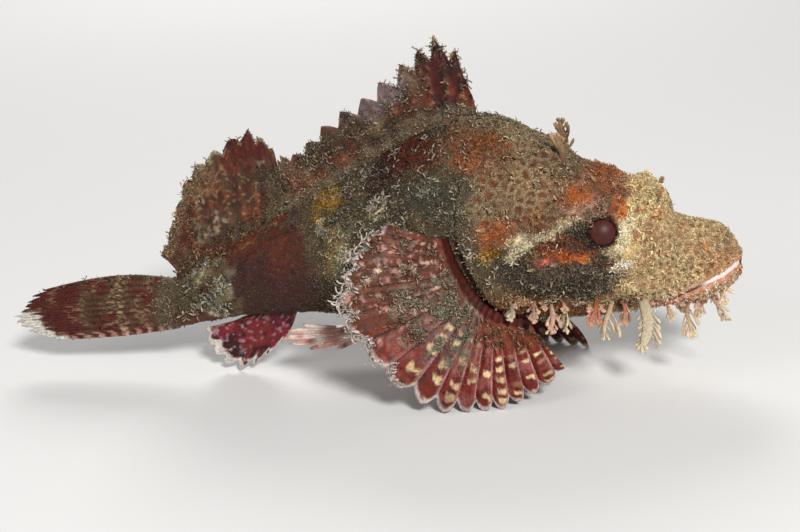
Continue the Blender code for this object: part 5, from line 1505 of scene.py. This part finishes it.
def paint_soft(fin):
    """Colours of the soft back fin: fine pale lines under a crusted rim."""
    run, t, p = fin.run, fin.t, fin.front
    c = full(t.shape, "brown")
    c = mix(c, INK["rust"] * 0.8, ramp_up(clouds(p, 5.0, 51), -0.1, 0.4) * 0.6)
    c = mix(c, INK["umber"], smooth(noise(p, 2.4, 59) / 0.4) * 0.5)
    lines = np.sin(t * 74.0 + 5.0 * noise(p, 2.6, 56) + np.sin(fin.place * 6.28) * 0.5)
    thin = ramp_up(lines, 0.72, 0.2) * ramp_up(noise(p, 1.3, 57), -0.1, 0.3)
    c = mix(c, INK["tan"], thin * 0.6 * ramp_up(t, 0.1, 0.1))
    peak = smooth((0.24 - np.abs(run - 0.22)) / 0.15) * smooth((t - 0.55 + 0.1 * noise(p, 3.0, 52)) / 0.2)
    c = mix(c, INK["dark_red"], peak * 0.85)
    rear = ramp_up(run, 0.72, 0.12) * ramp_up(t, 0.4, 0.2)
    c = mix(c, INK["dark_red"], rear * 0.5)
    low_web = ramp_down(run, 0.2, 0.15) * ramp_down(t, 0.7, 0.3)
    c = mix(c, INK["grey_green"], low_web * 0.7)
    blot = smooth((clouds(p, 4.5, 53) - 0.16 - 0.25 * (run < 0.35)) / 0.12)
    blot = blot * ramp_up(noise(p, 0.9, 58), -0.1, 0.3)
    c = mix(c, INK["cream"] * 0.4 + INK["pale_green"] * 0.5, blot * 0.5 * ramp_up(t, 0.15, 0.1))
    ribs = smooth((np.sin(t * 95.0 + 2.0 * noise(p, 2.0, 50)) + 0.1) / 0.5)
    crust = ramp_up(run, 0.42, 0.12) * smooth((t - 0.66 + 0.12 * noise(p, 3.0, 60)) / 0.12)
    c = mix(c, INK["tan"] * 0.9, crust * (0.35 + 0.45 * ribs))
    edge = ramp_up(t, 0.95, 0.03) * ramp_up(noise(p, 1.6, 54), -0.1, 0.2)
    c = mix(c, INK["cream"], edge * 0.7)
    return c * (1.0 + 0.35 * clouds(p, 1.2, 55))[..., None] * (0.55 + 0.5 * fin.ridge[..., None])


def paint_caudal(fin):
    """Colours of the tail fin: dark red with pale speckled bands and a white tip."""
    run, t, p = fin.run, fin.t, fin.front
    c = full(t.shape, "dark_red")
    c = mix(c, INK["brown"], smooth((clouds(p, 5.0, 61) + 0.5 - 0.5 * t) / 0.5) * 0.8)
    bands = 0.5 + 0.5 * np.sin(t * 30.0 + 2.4 * noise(p, 4.0, 62))
    speck = ramp_up(noise(p, 0.5, 63), 0.05, 0.25)
    main_band = hump(t - 0.45 + 0.04 * noise(p, 3.0, 67), 0.0, 0.05)
    c = mix(c, INK["tan"], ramp_up(bands, 0.5, 0.3) * speck * 0.5)
    c = mix(c, INK["sand"], main_band * speck * 0.7)
    c = mix(c, INK["grey_green"], smooth((0.22 - t + 0.16 * clouds(p, 4.0, 66)) / 0.12) * 0.75)
    ticks = ramp_down(run, 0.12, 0.06) * smooth((np.sin(t * 60.0) - 0.1) / 0.4)
    c = mix(c, INK["blush"], ticks * 0.85)
    tip = smooth((t - 0.9 + 0.03 * noise(p, 1.6, 64) - 0.14 * ramp_up(run, 0.45, 0.3)) / 0.025)
    c = mix(c, INK["white"], tip * 0.95)
    return c * (1.0 + 0.25 * clouds(p, 1.2, 65))[..., None] * (0.5 + 0.4 * fin.ridge[..., None])


def paint_anal(fin):
    """Colours of the anal fin: crimson with lilac spots and a pale rim."""
    t, p = fin.t, fin.front
    c = full(t.shape, "plum")
    c = mix(c, INK["crimson"], ramp_up(clouds(p, 3.0, 71), -0.15, 0.3) * 0.8)
    along = np.stack((fin.place * 2.5, t * 9.0, np.zeros_like(t)), axis=-1)
    c = mix(c, INK["rust"] * 0.6 + INK["crimson"] * 0.4, ramp_up(noise(along, 1.0, 75), 0.05, 0.3) * 0.6)
    c = mix(c, INK["lilac"], ramp_up(noise(p, 0.9, 72), 0.22, 0.2) * 0.5)
    rim = smooth((t - 0.84 + 0.14 * noise(p, 1.1, 74)) / 0.04)
    c = mix(c, INK["white"] * 0.8 + INK["lilac"] * 0.2, rim * 0.85)
    return c * (0.62 + 0.2 * clouds(p, 1.2, 73))[..., None]


def paint_pelvic(fin):
    """Colours of a pelvic fin: pink with red and white blotches."""
    t, p = fin.t, fin.front
    c = full(t.shape, "blush")
    c = mix(c, INK["red"], ramp_up(clouds(p, 3.2, 81), 0.1, 0.3) * 0.75)
    c = mix(c, INK["white"], ramp_up(noise(p, 2.0, 82), 0.1, 0.3) * 0.6)
    return c * (1.0 + 0.2 * clouds(p, 1.2, 83))[..., None]


# Cover of larger frills, in the same form as COVER
FRILL_COVER = (
    (20.0, 50.0, 80.0, 60.0, 0, 0.26, 0.3),
    (62.0, 46.0, 34.0, 30.0, 0, 0.12, 0.3),
    (-3.0, 51.6, 4.0, 1.4, 32, 2.2, 0.5),
    (-17.4, 44.6, 1.6, 2.6, -30, 2.4, 0.5),
    (10.6, 54.6, 3.4, 1.2, 30, 2.0, 0.5),
    (-10.0, 38.0, 1.6, 2.8, -20, 2.0, 0.5),
    (-38.0, 35.0, 19.0, 26.0, 20, 0.0, 0.2),
    (-55.5, 24.0, 9.0, 12.0, 0, 0.4, 0.3),
    (-56.0, 30.0, 4.4, 2.4, 25, 1.6, 0.5),
    (-50.0, 18.6, 4.0, 1.6, 10, 1.6, 0.5),
    (-53.0, 23.0, 4.0, 2.0, 40, 1.5, 0.5),
    (-50.0, 15.0, 16.0, 3.6, 4, 0.0, 0.3),
    (10.0, 20.0, 24.0, 6.5, 0, 0.05, 0.4),
    (46.0, 46.6, 3.6, 1.0, 30, 1.6, 0.5),
    (41.0, 43.8, 6.0, 1.2, 30, 2.4, 0.5),
    (34.0, 40.0, 4.4, 1.4, 30, 2.2, 0.5),
    (46.0, 26.6, 15.0, 1.3, -4, 1.1, 0.5),
    (24.5, 37.0, 2.2, 9.0, 30, 0.7, 0.5),
    (34.4, 42.6, 3.4, 2.6, 0, 0.9, 0.5),
    (60.4, 43.4, 2.6, 4.8, -18, 0.4, 0.4),
    (59.6, 36.0, 3.2, 0.8, 12, 2.6, 0.4),
    (51.5, 42.8, 4.2, 2.0, -40, 0.1, 0.4),
    (47.0, 38.8, 6.0, 1.6, -4, 0.25, 0.4),
    (78.0, 25.0, 14.0, 3.6, 16, 0.12, 0.3),
    (61.0, 29.6, 5.0, 1.4, -26, 2.0, 0.5),
)


def paint_at(places):
    """Body paint at points jittered a little, so that neighbours mix across a border."""
    x, height = places[:, 0], places[:, 2]
    # Brighter toward the snout: partly the head's paler colour, partly painted light on the front of the head
    front_tone_and_light = 0.86 + 0.04 * ramp_up(x, 25.0, 15.0) + 0.65 * ramp_up(x, 55.0, 8.0)
    # Darker on the top of the head and back: painted shade
    shade = 1.0 - 0.2 * ramp_up(height, 48.0, 8.0) - 0.15 * ramp_up(height, 58.0, 6.0)
    clump = noise(places, 1.2, 113) * (0.4 + 0.4 * ramp_down(x, 32.0, 8.0))
    far = 0.5 + 0.9 * ramp_down(x, 26.0, 12.0)[:, None]
    jittered = places + DICE.normal(0.0, 1.0, places.shape) * far
    return body_paint(jittered) * (front_tone_and_light * shade * (1.0 + clump))[:, None]


def no_rise(run):
    """Level petals, for fins whose webs don't overlap."""
    return np.zeros_like(run)


def petal_rise(run):
    """How far one edge of each petal stands up, more on the lower rays."""
    return 0.9 * ramp_up(run, 0.3, 0.15) + 0.25


def keep_tubes(parts, keep):
    """The chosen tubes of a lot, as a lot of their own."""
    body, groups, tint, where = parts
    n = len(keep)
    per = len(body.reshape(-1, 3)) // n
    chosen = np.flatnonzero(keep)
    new_groups, new_where = [], []
    for group, at in zip(groups, where):
        each = len(group) // n
        local = group[:each]
        numbers = np.arange(len(chosen))[:, None, None] * per + local[None]
        new_groups.append(numbers.reshape(-1, group.shape[1]))
        new_where.append(at.reshape(n, each, group.shape[1], 2)[chosen].reshape(-1, group.shape[1], 2))
    return body.reshape(n, per, 3)[chosen], new_groups, tint.reshape(n, per, 3)[chosen], new_where


# Pieces of the coat from the front: name, x where it ends behind
STRETCHES = (("snout", 60.0), ("crown", 32.0), ("nape", 8.0), ("back", -20.0), ("tail", -math.inf))


def regions_of(root):
    """Name of each piece of the coat, and which roots belong to it."""
    x, right = root[:, 0], root[:, 1] < 0.0
    front = math.inf
    for name, behind in STRETCHES:
        inside = (x >= behind) & (x < front)
        yield name + "_right", inside & right
        yield name + "_left", inside & ~right
        front = behind


class Skin:
    """The whole skin: its grid, the pores in it, and the fields of paint and cover."""

    def __init__(self):
        grid, self.x, turn, self.mouth_gap, self.groove = make_skin_grid()
        self.grid, self.orbit = set_orbit(grid)
        self.edge = read_table(GILL_EDGE, np.abs(turn), 1)
        self.on_head = smooth((self.x - self.edge + 0.4) / 0.8)
        self.snout = ramp_up(self.x, 60.0, 6.0)
        behind = self.edge - self.x
        self.fold = smooth(1.0 - np.where(behind > 0.0, behind / 3.4, -behind / 0.8)) * fold_window(turn)
        self.bare = patch_share(self.grid, slow_drift(self.grid) * WARP * 2.0, *BARE_FLANK)
        self.find_pores()
        self.raise_relief()
        self.colours = body_paint(self.points)
        self.set_cover()
        self.set_ground()

    def find_pores(self):
        """Scatters pores on the snout, crown and nape, and finds their ridges and pits."""
        grid, x, height = self.grid, self.x, self.grid[..., 2]
        forward = smooth((x - self.edge + 2.5 * noise(grid, 4.0, 29)) / 7.0)
        crown = np.maximum(ramp_up(height, 44.0, 5.0), self.snout) * forward
        nape = ramp_up(x, 10.0, 10.0) * ramp_up(height, 58.0, 5.0)
        pored = np.maximum(crown, 0.6 * nape) * ramp_up(self.mouth_gap, 1.4, 0.4) * (self.orbit > 4.7)
        plain = patch_share(grid, np.zeros(grid.shape), *PLAIN_BROW)
        uneven = 0.65 + 0.35 * np.maximum(ramp_up(clouds(grid, 5.0, 30), -0.3, 0.4), self.snout)
        self.pored = pored * (1.0 - 0.75 * plain) * uneven
        wider = ramp_up(clouds(grid, 7.0, 86), -0.25, 0.5) * (1.0 - 0.4 * self.snout)
        has_pores = self.pored > 0.02
        spacing = PORE_SPACING + PORE_SPREAD * wider
        pores = scatter_pores(grid, self.pored + 0.1 * has_pores, spacing, PORE_DRAWS)
        tree = KDTree(len(pores))
        for number, pore in enumerate(pores):
            tree.insert(Vector(pore), number)
        tree.balance()
        between = np.zeros(grid.shape[:2])
        for i, j in np.argwhere(has_pores):
            nearest, second = tree.find_n(Vector(grid[i, j]), 2)
            between[i, j] = second[2] - nearest[2]
        self.ridge = smooth(1.0 - between / 0.85)
        self.pit = ramp_up(between, 0.5, 0.5) * (1.0 - 0.2 * self.snout)

    def raise_relief(self):
        """Roughens the grid and raises its ridges round the sunken pores."""
        rough = (0.46 - 0.18 * self.on_head) * clouds(self.grid, 1.4, 21, 2) * (self.orbit > 4.9)
        rough = rough * (1.0 - self.groove) * (1.0 - self.fold)
        relief = rough + self.pored * (0.3 * self.ridge - 0.5 * self.pit)
        self.points = self.grid + grid_normals(self.grid, True)[0] * relief[..., None]

    def set_cover(self):
        """How densely and how long filaments and frills grow at each point."""
        grid, bare = self.grid, self.bare
        warp = slow_drift(grid) * WARP
        free = ramp_up(self.mouth_gap, 0.6, 0.4) * ramp_up(self.orbit, 3.6, 0.3)
        free = free * (1.0 - 0.97 * self.fold)
        clumps = 0.3 + 1.35 * ramp_up(noise(grid, 1.0, 26), -0.15, 0.5)
        clumps = clumps * (1.0 - bare) + bare
        net = (0.1 + 2.7 * self.ridge + 0.7 * self.snout) * (1.0 - 0.98 * self.pit)
        self.cover = cover_of(grid, warp, COVER) * free * (clumps * (1.0 - self.pored) + net * self.pored)
        clusters = 0.1 + 2.9 * ramp_up(clouds(grid, 2.0, 25), 0.12, 0.2)
        self.frill_cover = cover_of(grid, warp, FRILL_COVER) * free * clusters
        self.specks = bare * free
        self.length = 0.76 + 0.14 * self.on_head - 0.12 * self.snout * self.on_head
        self.length = self.length * (1.0 - 0.7 * bare)
        self.length = self.length * (1.0 - 0.42 * self.pored * (1.0 - 0.5 * self.snout))
        self.rim_share = (self.pored * (1.0 - 0.6 * self.snout))[..., None] * np.ones(3)

    def set_ground(self):
        """Colours of the skin under its coat, with painted shade where the coat is dense and in hollows."""
        grid, x, snout, bare = self.grid, self.x, self.snout, self.bare
        light = smooth((self.colours.mean(axis=-1) - 0.1) / 0.3)
        # Painted shade under the coat: darker where it is dense, less on bare and pale skin
        dark = 0.72 * smooth(self.cover / 1.6) * (1.0 - 0.8 * bare) * (1.0 - 0.8 * light)
        ground = self.colours * (1.0 - dark)[..., None]
        # More painted shade under the coat, in umber, off the snout
        ground = mix(ground, INK["umber"], 0.3 * smooth(self.cover) * (1.0 - snout) * (1.0 - light))
        ground = mix(ground, INK["umber"], 0.5 * bare * smooth(clouds(grid, 4.0, 28) / 0.4))
        ground = mix(ground, INK["tan"] * 0.6, 0.5 * snout * self.on_head * (x > 62.0))
        ground = mix(ground, INK["butter"] * 0.6, 0.5 * self.pored * self.ridge)
        ground = mix(ground, INK["dark_red"] * 0.55, self.fold * (x < self.edge + 0.3) * 0.9)
        # Painted shade in the sunken pores: dark umber, a darker rust on the snout
        deep = (INK["umber"] * 0.6 + INK["rust"] * 0.35) * np.ones(grid.shape)
        deep = mix(deep, INK["rust"] * 0.7 + INK["tan"] * 0.1, snout)
        strength = (0.95 - 0.25 * snout) * (1.0 + 0.35 * noise(grid, 2.6, 85))
        ground = mix(ground, deep, self.pored * self.pit * np.clip(strength, 0.0, 1.0))
        # Painted shade in umber on the skin round the eye, under the lids
        ground = mix(ground, INK["umber"] * 0.5, ramp_down(self.orbit, 4.7, 0.4) * 0.85)
        ground = mix(ground, INK["salmon"], hump(self.mouth_gap, 0.9, 0.9) * snout * 0.6)
        # Dark red in the mouth's groove: the mouth's red darkened as painted shade in the crease
        self.ground = mix(ground, INK["dark_red"] * 0.8, self.groove * 0.9)

    def build(self, mat):
        """The skin as one closed piece, from the tip of the tail to the tip of the snout."""
        heap = Heap()
        rows, columns = self.points.shape[:2]
        count = rows * columns
        tail_tip = self.points[0].mean(axis=0)
        snout_tip = np.array(SNOUT) - (COAT_DEPTH, 0.0, 0.0)
        faces, places = grid_faces(rows, columns, True)
        start, start_at = fan_faces(np.arange(columns), count, (0.0, 0.5), False)
        stop, stop_at = fan_faces(np.arange(count - columns, count), count + 1, (1.0, 0.5), True)
        everything = np.concatenate((self.points.reshape(-1, 3), tail_tip[None], snout_tip[None]))
        tints = np.concatenate((self.ground.reshape(-1, 3), self.ground[:1, 0], self.ground[-1:, 0]))
        heap.add(everything, [faces, start, stop], tints, [places, start_at, stop_at])
        return heap.build("skin", mat, "body_skin", ("head", "lower_jaw", "trunk", "tail_stock"))


def on_rims(lot):
    """Colours of the roots of a lot, paler on the rims of the pores."""
    paint = paint_at(lot["root"])
    return mix(paint, INK["sand"] * 0.85, 0.5 * lot["colour"][:, 0] * (1.0 - 0.6 * vivid(paint)))


def grow_coat(skin, mat):
    """The fine filaments, the rings round the pores and the larger frills."""
    kinds = (
        ("curled", 0.42 * skin.cover),
        ("bent", 0.8 * skin.cover),
        ("short", 1.9 * skin.cover + 2.8 * skin.specks),
    )
    lots = []
    for kind, cover in kinds:
        grown = Surface(skin.points, True, skin.rim_share, cover, skin.length).scatter()
        grown["colour"] = on_rims(grown)
        pale = 0.45 + 0.4 * ramp_up(grown["root"][:, 0], 30.0, 30.0)[:, None, None]
        if kind == "short":
            lots.append((grown["root"], papillae(grown, PAPILLA_WIDTH, pale)))
        else:
            lots.append((grown["root"], filaments(grown, FILAMENT_RADIUS, pale, kind == "curled")))
    at_saddle = ramp_down(skin.points[..., 0], -45.0, 4.0)
    big = Surface(skin.points, True, skin.colours, skin.frill_cover, 1.3 + 0.35 * at_saddle).scatter()
    big["colour"] = paint_at(big["root"])
    front = ramp_up(big["root"][:, 0], 10.0, 25.0)[:, None, None]
    pale = INK["cream"] * front + (INK["white"] * 0.45 + INK["pale_green"] * 0.55) * (1.0 - front)
    for branch in frills(big, FRILL_WIDTH, pale, 0.75):
        lots.append((big["root"], branch))
    heaps = {}
    for roots, parts in lots:
        for name, keep in regions_of(roots):
            if keep.any():
                heaps.setdefault(name, Heap()).add(*keep_tubes(parts, keep))
    for name, heap in heaps.items():
        heap.build("coat_" + name, mat, "body_skin")


def make_fin(name, fin, paint_with, slot, mats, hairs=None, both=True):
    """Membrane of a fin, and the filaments and frills that grow on its faces."""
    colours = np.clip(paint_with(fin), 0.0, 1.0)
    ground = colours
    if hairs:
        fine, coarse, size, pale = hairs(fin)
        # Painted shade: the membrane is darker under dense hairs
        ground = colours * (1.0 - 0.35 * smooth(fine / 2.0))[..., None]
    heap = Heap()
    # Painted shade: the back face takes the front's colours at 0.85
    add_sheet(heap, fin.front, fin.back, ground, ground * 0.85, (0.0, 0.0), (1.0, 1.0))
    heap.build(name + "_membrane", mats["fin"], slot, (name,))
    if not hairs:
        return
    heap = Heap()
    for face in ((1.0, -1.0) if both else (1.0,)):
        sheet = fin.front if face > 0.0 else fin.back

        def roots(cover, length):
            """Random roots on this face of the fin."""
            return Surface(sheet, False, colours, cover, length, (1.0, 0.5), fin.out * face).scatter()

        for cover, length in ((fine, size), (coarse, size * 1.5)):
            grown = roots(cover, length)
            if face < 0.0:
                grown["place"][:, 1] = 1.0 - grown["place"][:, 1]
            if cover is fine:
                heap.add(*filaments(grown, FILAMENT_RADIUS, 0.7, False))
                heap.add(*papillae(roots(1.6 * cover, size), PAPILLA_WIDTH, 0.5))
            else:
                for branch in frills(grown, FRILL_WIDTH, pale, 0.6):
                    heap.add(*branch)
    heap.build(name + "_frills", mats["coat"], slot)


def pectoral_hairs(fin):
    """What grows on a pectoral fan: its cover, its length and its pale colour."""
    run, t = fin.run, fin.t
    ragged = 0.12 * noise(fin.front, 3.0, 47)
    off_root = ramp_up(t, 0.16, 0.06)
    middle = smooth((0.25 - np.abs(run - 0.42) + ragged) / 0.14) * smooth((0.8 - t + ragged) / 0.2) * off_root
    front = ramp_up(run, 0.58, 0.1) * ramp_down(t, 0.52, 0.15) * off_root
    rear = ramp_down(run, 0.5, 0.1) * ramp_up(t, 0.95, 0.03)
    upper = ramp_down(run, 0.35, 0.1) * ramp_up(t, 0.2, 0.1)
    upper = upper * ramp_up(noise(fin.front, 2.4, 48), -0.2, 0.3)
    clump = 0.15 + 1.7 * ramp_up(noise(fin.front, 1.6, 84), -0.1, 0.3)
    lower = ramp_up(run, 0.4, 0.1)
    outer = ramp_up(t, 0.5, 0.1)
    fine = (1.8 * middle + 1.1 * front) * clump + 1.2 * upper + 0.5 * lower * outer
    coarse = (middle + 0.6 * front) * clump + 2.0 * rear + 0.5 * upper * clump
    length = 0.8 + 0.4 * rear - 0.35 * outer * lower
    return fine, coarse, length, INK["pale_green"] * 0.4 + INK["cream"] * 0.6


def spiny_hairs(fin):
    """What grows on the spiny back fin: its cover, its length and its pale colour."""
    tip = ramp_up(fin.t, 0.84, 0.08) * ramp_down(fin.run, 0.42, 0.15)
    on_spine = ramp_up(fin.ridge, 0.3, 0.3)
    rear = ramp_up(fin.run, 0.22, 0.12)
    body = smooth((0.62 + 0.75 * fin.run - fin.t + 0.2 * noise(fin.front, 4.0, 45)) / 0.2) * rear
    foot = ramp_down(fin.t, 0.25, 0.1)
    fine = 2.6 * np.maximum(np.maximum(tip, on_spine * 0.4), np.maximum(foot, body))
    coarse = 0.9 * tip + 0.45 * np.maximum(body, foot) + 0.5 * on_spine * (1.0 - rear)
    return 0.75 * fine, 0.7 * coarse, 0.75 + 0.3 * tip, INK["cream"] * 0.8


def soft_hairs(fin):
    """What grows on the soft back fin: its cover, its length and its pale colour."""
    edge = ramp_up(fin.t, 0.95, 0.03)
    foot = ramp_down(fin.t, 0.2, 0.12)
    rear = ramp_up(fin.run, 0.55, 0.2)
    low_front = ramp_down(fin.run, 0.25, 0.1) * ramp_down(fin.t, 0.75, 0.2)
    crust = ramp_up(fin.run, 0.42, 0.12) * ramp_up(fin.t, 0.66, 0.12)
    fine = 2.4 * np.maximum(np.maximum(edge, foot), low_front) + 1.0 * rear + 0.8 * crust
    coarse = 0.5 * edge + 0.4 * foot + 0.25 * rear + 0.25 * low_front + 0.35 * crust
    return 0.8 * fine, coarse, np.full_like(fin.t, 0.75), INK["sand"]


def caudal_hairs(fin):
    """What grows on the tail fin: its cover, its length and its pale colour."""
    upper = ramp_up(fin.run, 0.9, 0.08)
    foot = smooth((0.24 - fin.t + 0.16 * clouds(fin.front, 4.0, 66)) / 0.14)
    return 0.5 + 1.6 * foot, 0.4 * upper + 0.4 * foot, np.full_like(fin.t, 0.7), INK["cream"]


def make_fins(tree, mats):
    """Every fin, in a fixed order, because what grows on them draws random numbers."""
    right, left, down = (0.0, -1.0, 0.0), (0.0, 1.0, 0.0), (0.0, 0.0, -1.0)
    spines = median_rays(tree, DORSAL_SPINES + DORSAL_WEB, 1.2, 0.8, True)
    soft_rays = median_rays(tree, SOFT_DORSAL_RAYS, 1.0, 0.6, True)
    anal_rays = median_rays(tree, ANAL_RAYS, 1.5, 0.6, False)
    median_fins = (
        ("spiny_dorsal_fin", spines, paint_spiny, spiny_hairs),
        ("soft_dorsal_fin", soft_rays, paint_soft, soft_hairs),
        ("anal_fin", anal_rays, paint_anal, None),
        ("caudal_fin", tail_rays(), paint_caudal, caudal_hairs),
    )
    for name, rays, paint_with, hairs in median_fins:
        make_fin(name, Fin(name, rays, right, no_rise), paint_with, "fin_skin", mats, hairs)
    for side, word, out in ((-1.0, "right", right), (1.0, "left", left)):
        fan = Fin("pectoral_fin", pectoral_rays(tree, side), out, petal_rise)
        make_fin("pectoral_fin_" + word, fan, paint_pectoral, "pectoral_skin", mats, pectoral_hairs, False)
        paddle = Fin("pelvic_fin", pelvic_rays(tree, side), down, no_rise)
        make_fin("pelvic_fin_" + word, paddle, paint_pelvic, "fin_skin", mats)


# Light of the studio, in metres: name, place, point it is aimed at, size, power in watts
LIGHTS = (
    ("key", (0.54, -1.12, 0.86), (0.02, 0.0, 0.04), 0.3, 25.0),
    ("fill", (-0.9, -0.9, 0.7), (0.0, 0.0, 0.03), 0.8, 4.0),
    ("rim", (-0.3, 1.2, 0.9), (0.0, 0.0, 0.05), 0.8, 11.0),
)
FLOOR_REACH = 3.0
FLOOR_COLOUR = (0.74, 0.73, 0.71, 1.0)
FLOOR_ROUGHNESS = 0.9
SKY_COLOUR = (0.78, 0.79, 0.81, 1.0)
SKY_STRENGTH = 0.24
# Camera: degrees round the fish, above it and of tilt to the side, then the height of
# the point it looks at and its distance from there, in metres
CAMERA_AZIMUTH = 10.0
CAMERA_ELEVATION = 17.0
CAMERA_ROLL = 3.0
CAMERA_AIM = 0.0305
CAMERA_DISTANCE = 0.417
CAMERA_LENS = 70.0
CAMERA_SENSOR = 36.0
CAMERA_NEAR = 0.01


def add_floor():
    """The plain floor that the fish rests on."""
    mesh = bpy.data.meshes.new("floor")
    ends = (-FLOOR_REACH, FLOOR_REACH)
    corners = [(ends[i], ends[j], 0.0) for i, j in ((0, 0), (1, 0), (1, 1), (0, 1))]
    mesh.from_pydata(corners, [], [(0, 1, 2, 3)])
    mat, shader = new_material("floor_matt")
    set_inputs(shader, {"Base Color": FLOOR_COLOUR, "Roughness": FLOOR_ROUGHNESS})
    mesh.materials.append(mat)
    obj = bpy.data.objects.new("floor", mesh)
    bpy.context.scene.collection.objects.link(obj)


def add_light(name, at, aim, size, power):
    """One round soft light."""
    light = bpy.data.lights.new(name, "AREA")
    light.shape = "DISK"
    light.size = size
    light.energy = power
    obj = bpy.data.objects.new(name, light)
    obj.location = at
    obj.rotation_euler = (Vector(aim) - Vector(at)).to_track_quat("-Z", "Y").to_euler()
    bpy.context.scene.collection.objects.link(obj)


def add_camera():
    """The camera of the main view."""
    angles = (CAMERA_AZIMUTH, CAMERA_ELEVATION, CAMERA_ROLL)
    azimuth, elevation, roll = (math.radians(angle) for angle in angles)
    level = Vector((math.cos(azimuth), math.sin(azimuth), 0.0))
    forward = Vector((-math.sin(azimuth), math.cos(azimuth), 0.0))
    back = Vector((0.0, 0.0, math.sin(elevation))) - forward * math.cos(elevation)
    upright = back.cross(level)
    right = level * math.cos(roll) - upright * math.sin(roll)
    up = upright * math.cos(roll) + level * math.sin(roll)
    lens = bpy.data.cameras.new("camera")
    lens.lens = CAMERA_LENS
    lens.sensor_width = CAMERA_SENSOR
    lens.clip_start = CAMERA_NEAR
    lens.dof.use_dof = False
    obj = bpy.data.objects.new("camera", lens)
    matrix = Matrix((right, up, back)).transposed().to_4x4()
    matrix.translation = Vector(SHIFT) + Vector((0.0, 0.0, CAMERA_AIM)) + back * CAMERA_DISTANCE
    obj.matrix_world = matrix
    bpy.context.scene.collection.objects.link(obj)
    bpy.context.scene.camera = obj


def add_studio():
    """Floor, lights, sky and camera."""
    add_floor()
    for row in LIGHTS:
        add_light(*row)
    world = bpy.data.worlds.new("studio")
    world.use_nodes = True
    set_inputs(world.node_tree.nodes["Background"], {"Color": SKY_COLOUR, "Strength": SKY_STRENGTH})
    bpy.context.scene.world = world
    bpy.context.scene.view_settings.view_transform = "Standard"
    add_camera()


mats = {kind: build_material(*row) for kind, row in PAINTED.items()}
skin = Skin()
skin.build(mats["skin"])
grow_coat(skin, mats["coat"])
make_fins(cad_tree("trunk", "tail_stock"), mats)
skin_tree = grid_tree(skin.points)
make_flaps(skin_tree, mats["flap"])
make_head_forms(skin_tree, mats["flap"])
for side, name in zip(SIDES_OF_FISH, ("eye_right", "eye_left")):
    make_eye(side, name, mats["eye"])
make_lids(mats["lid"])
make_lining(mats["lining"])
add_studio()
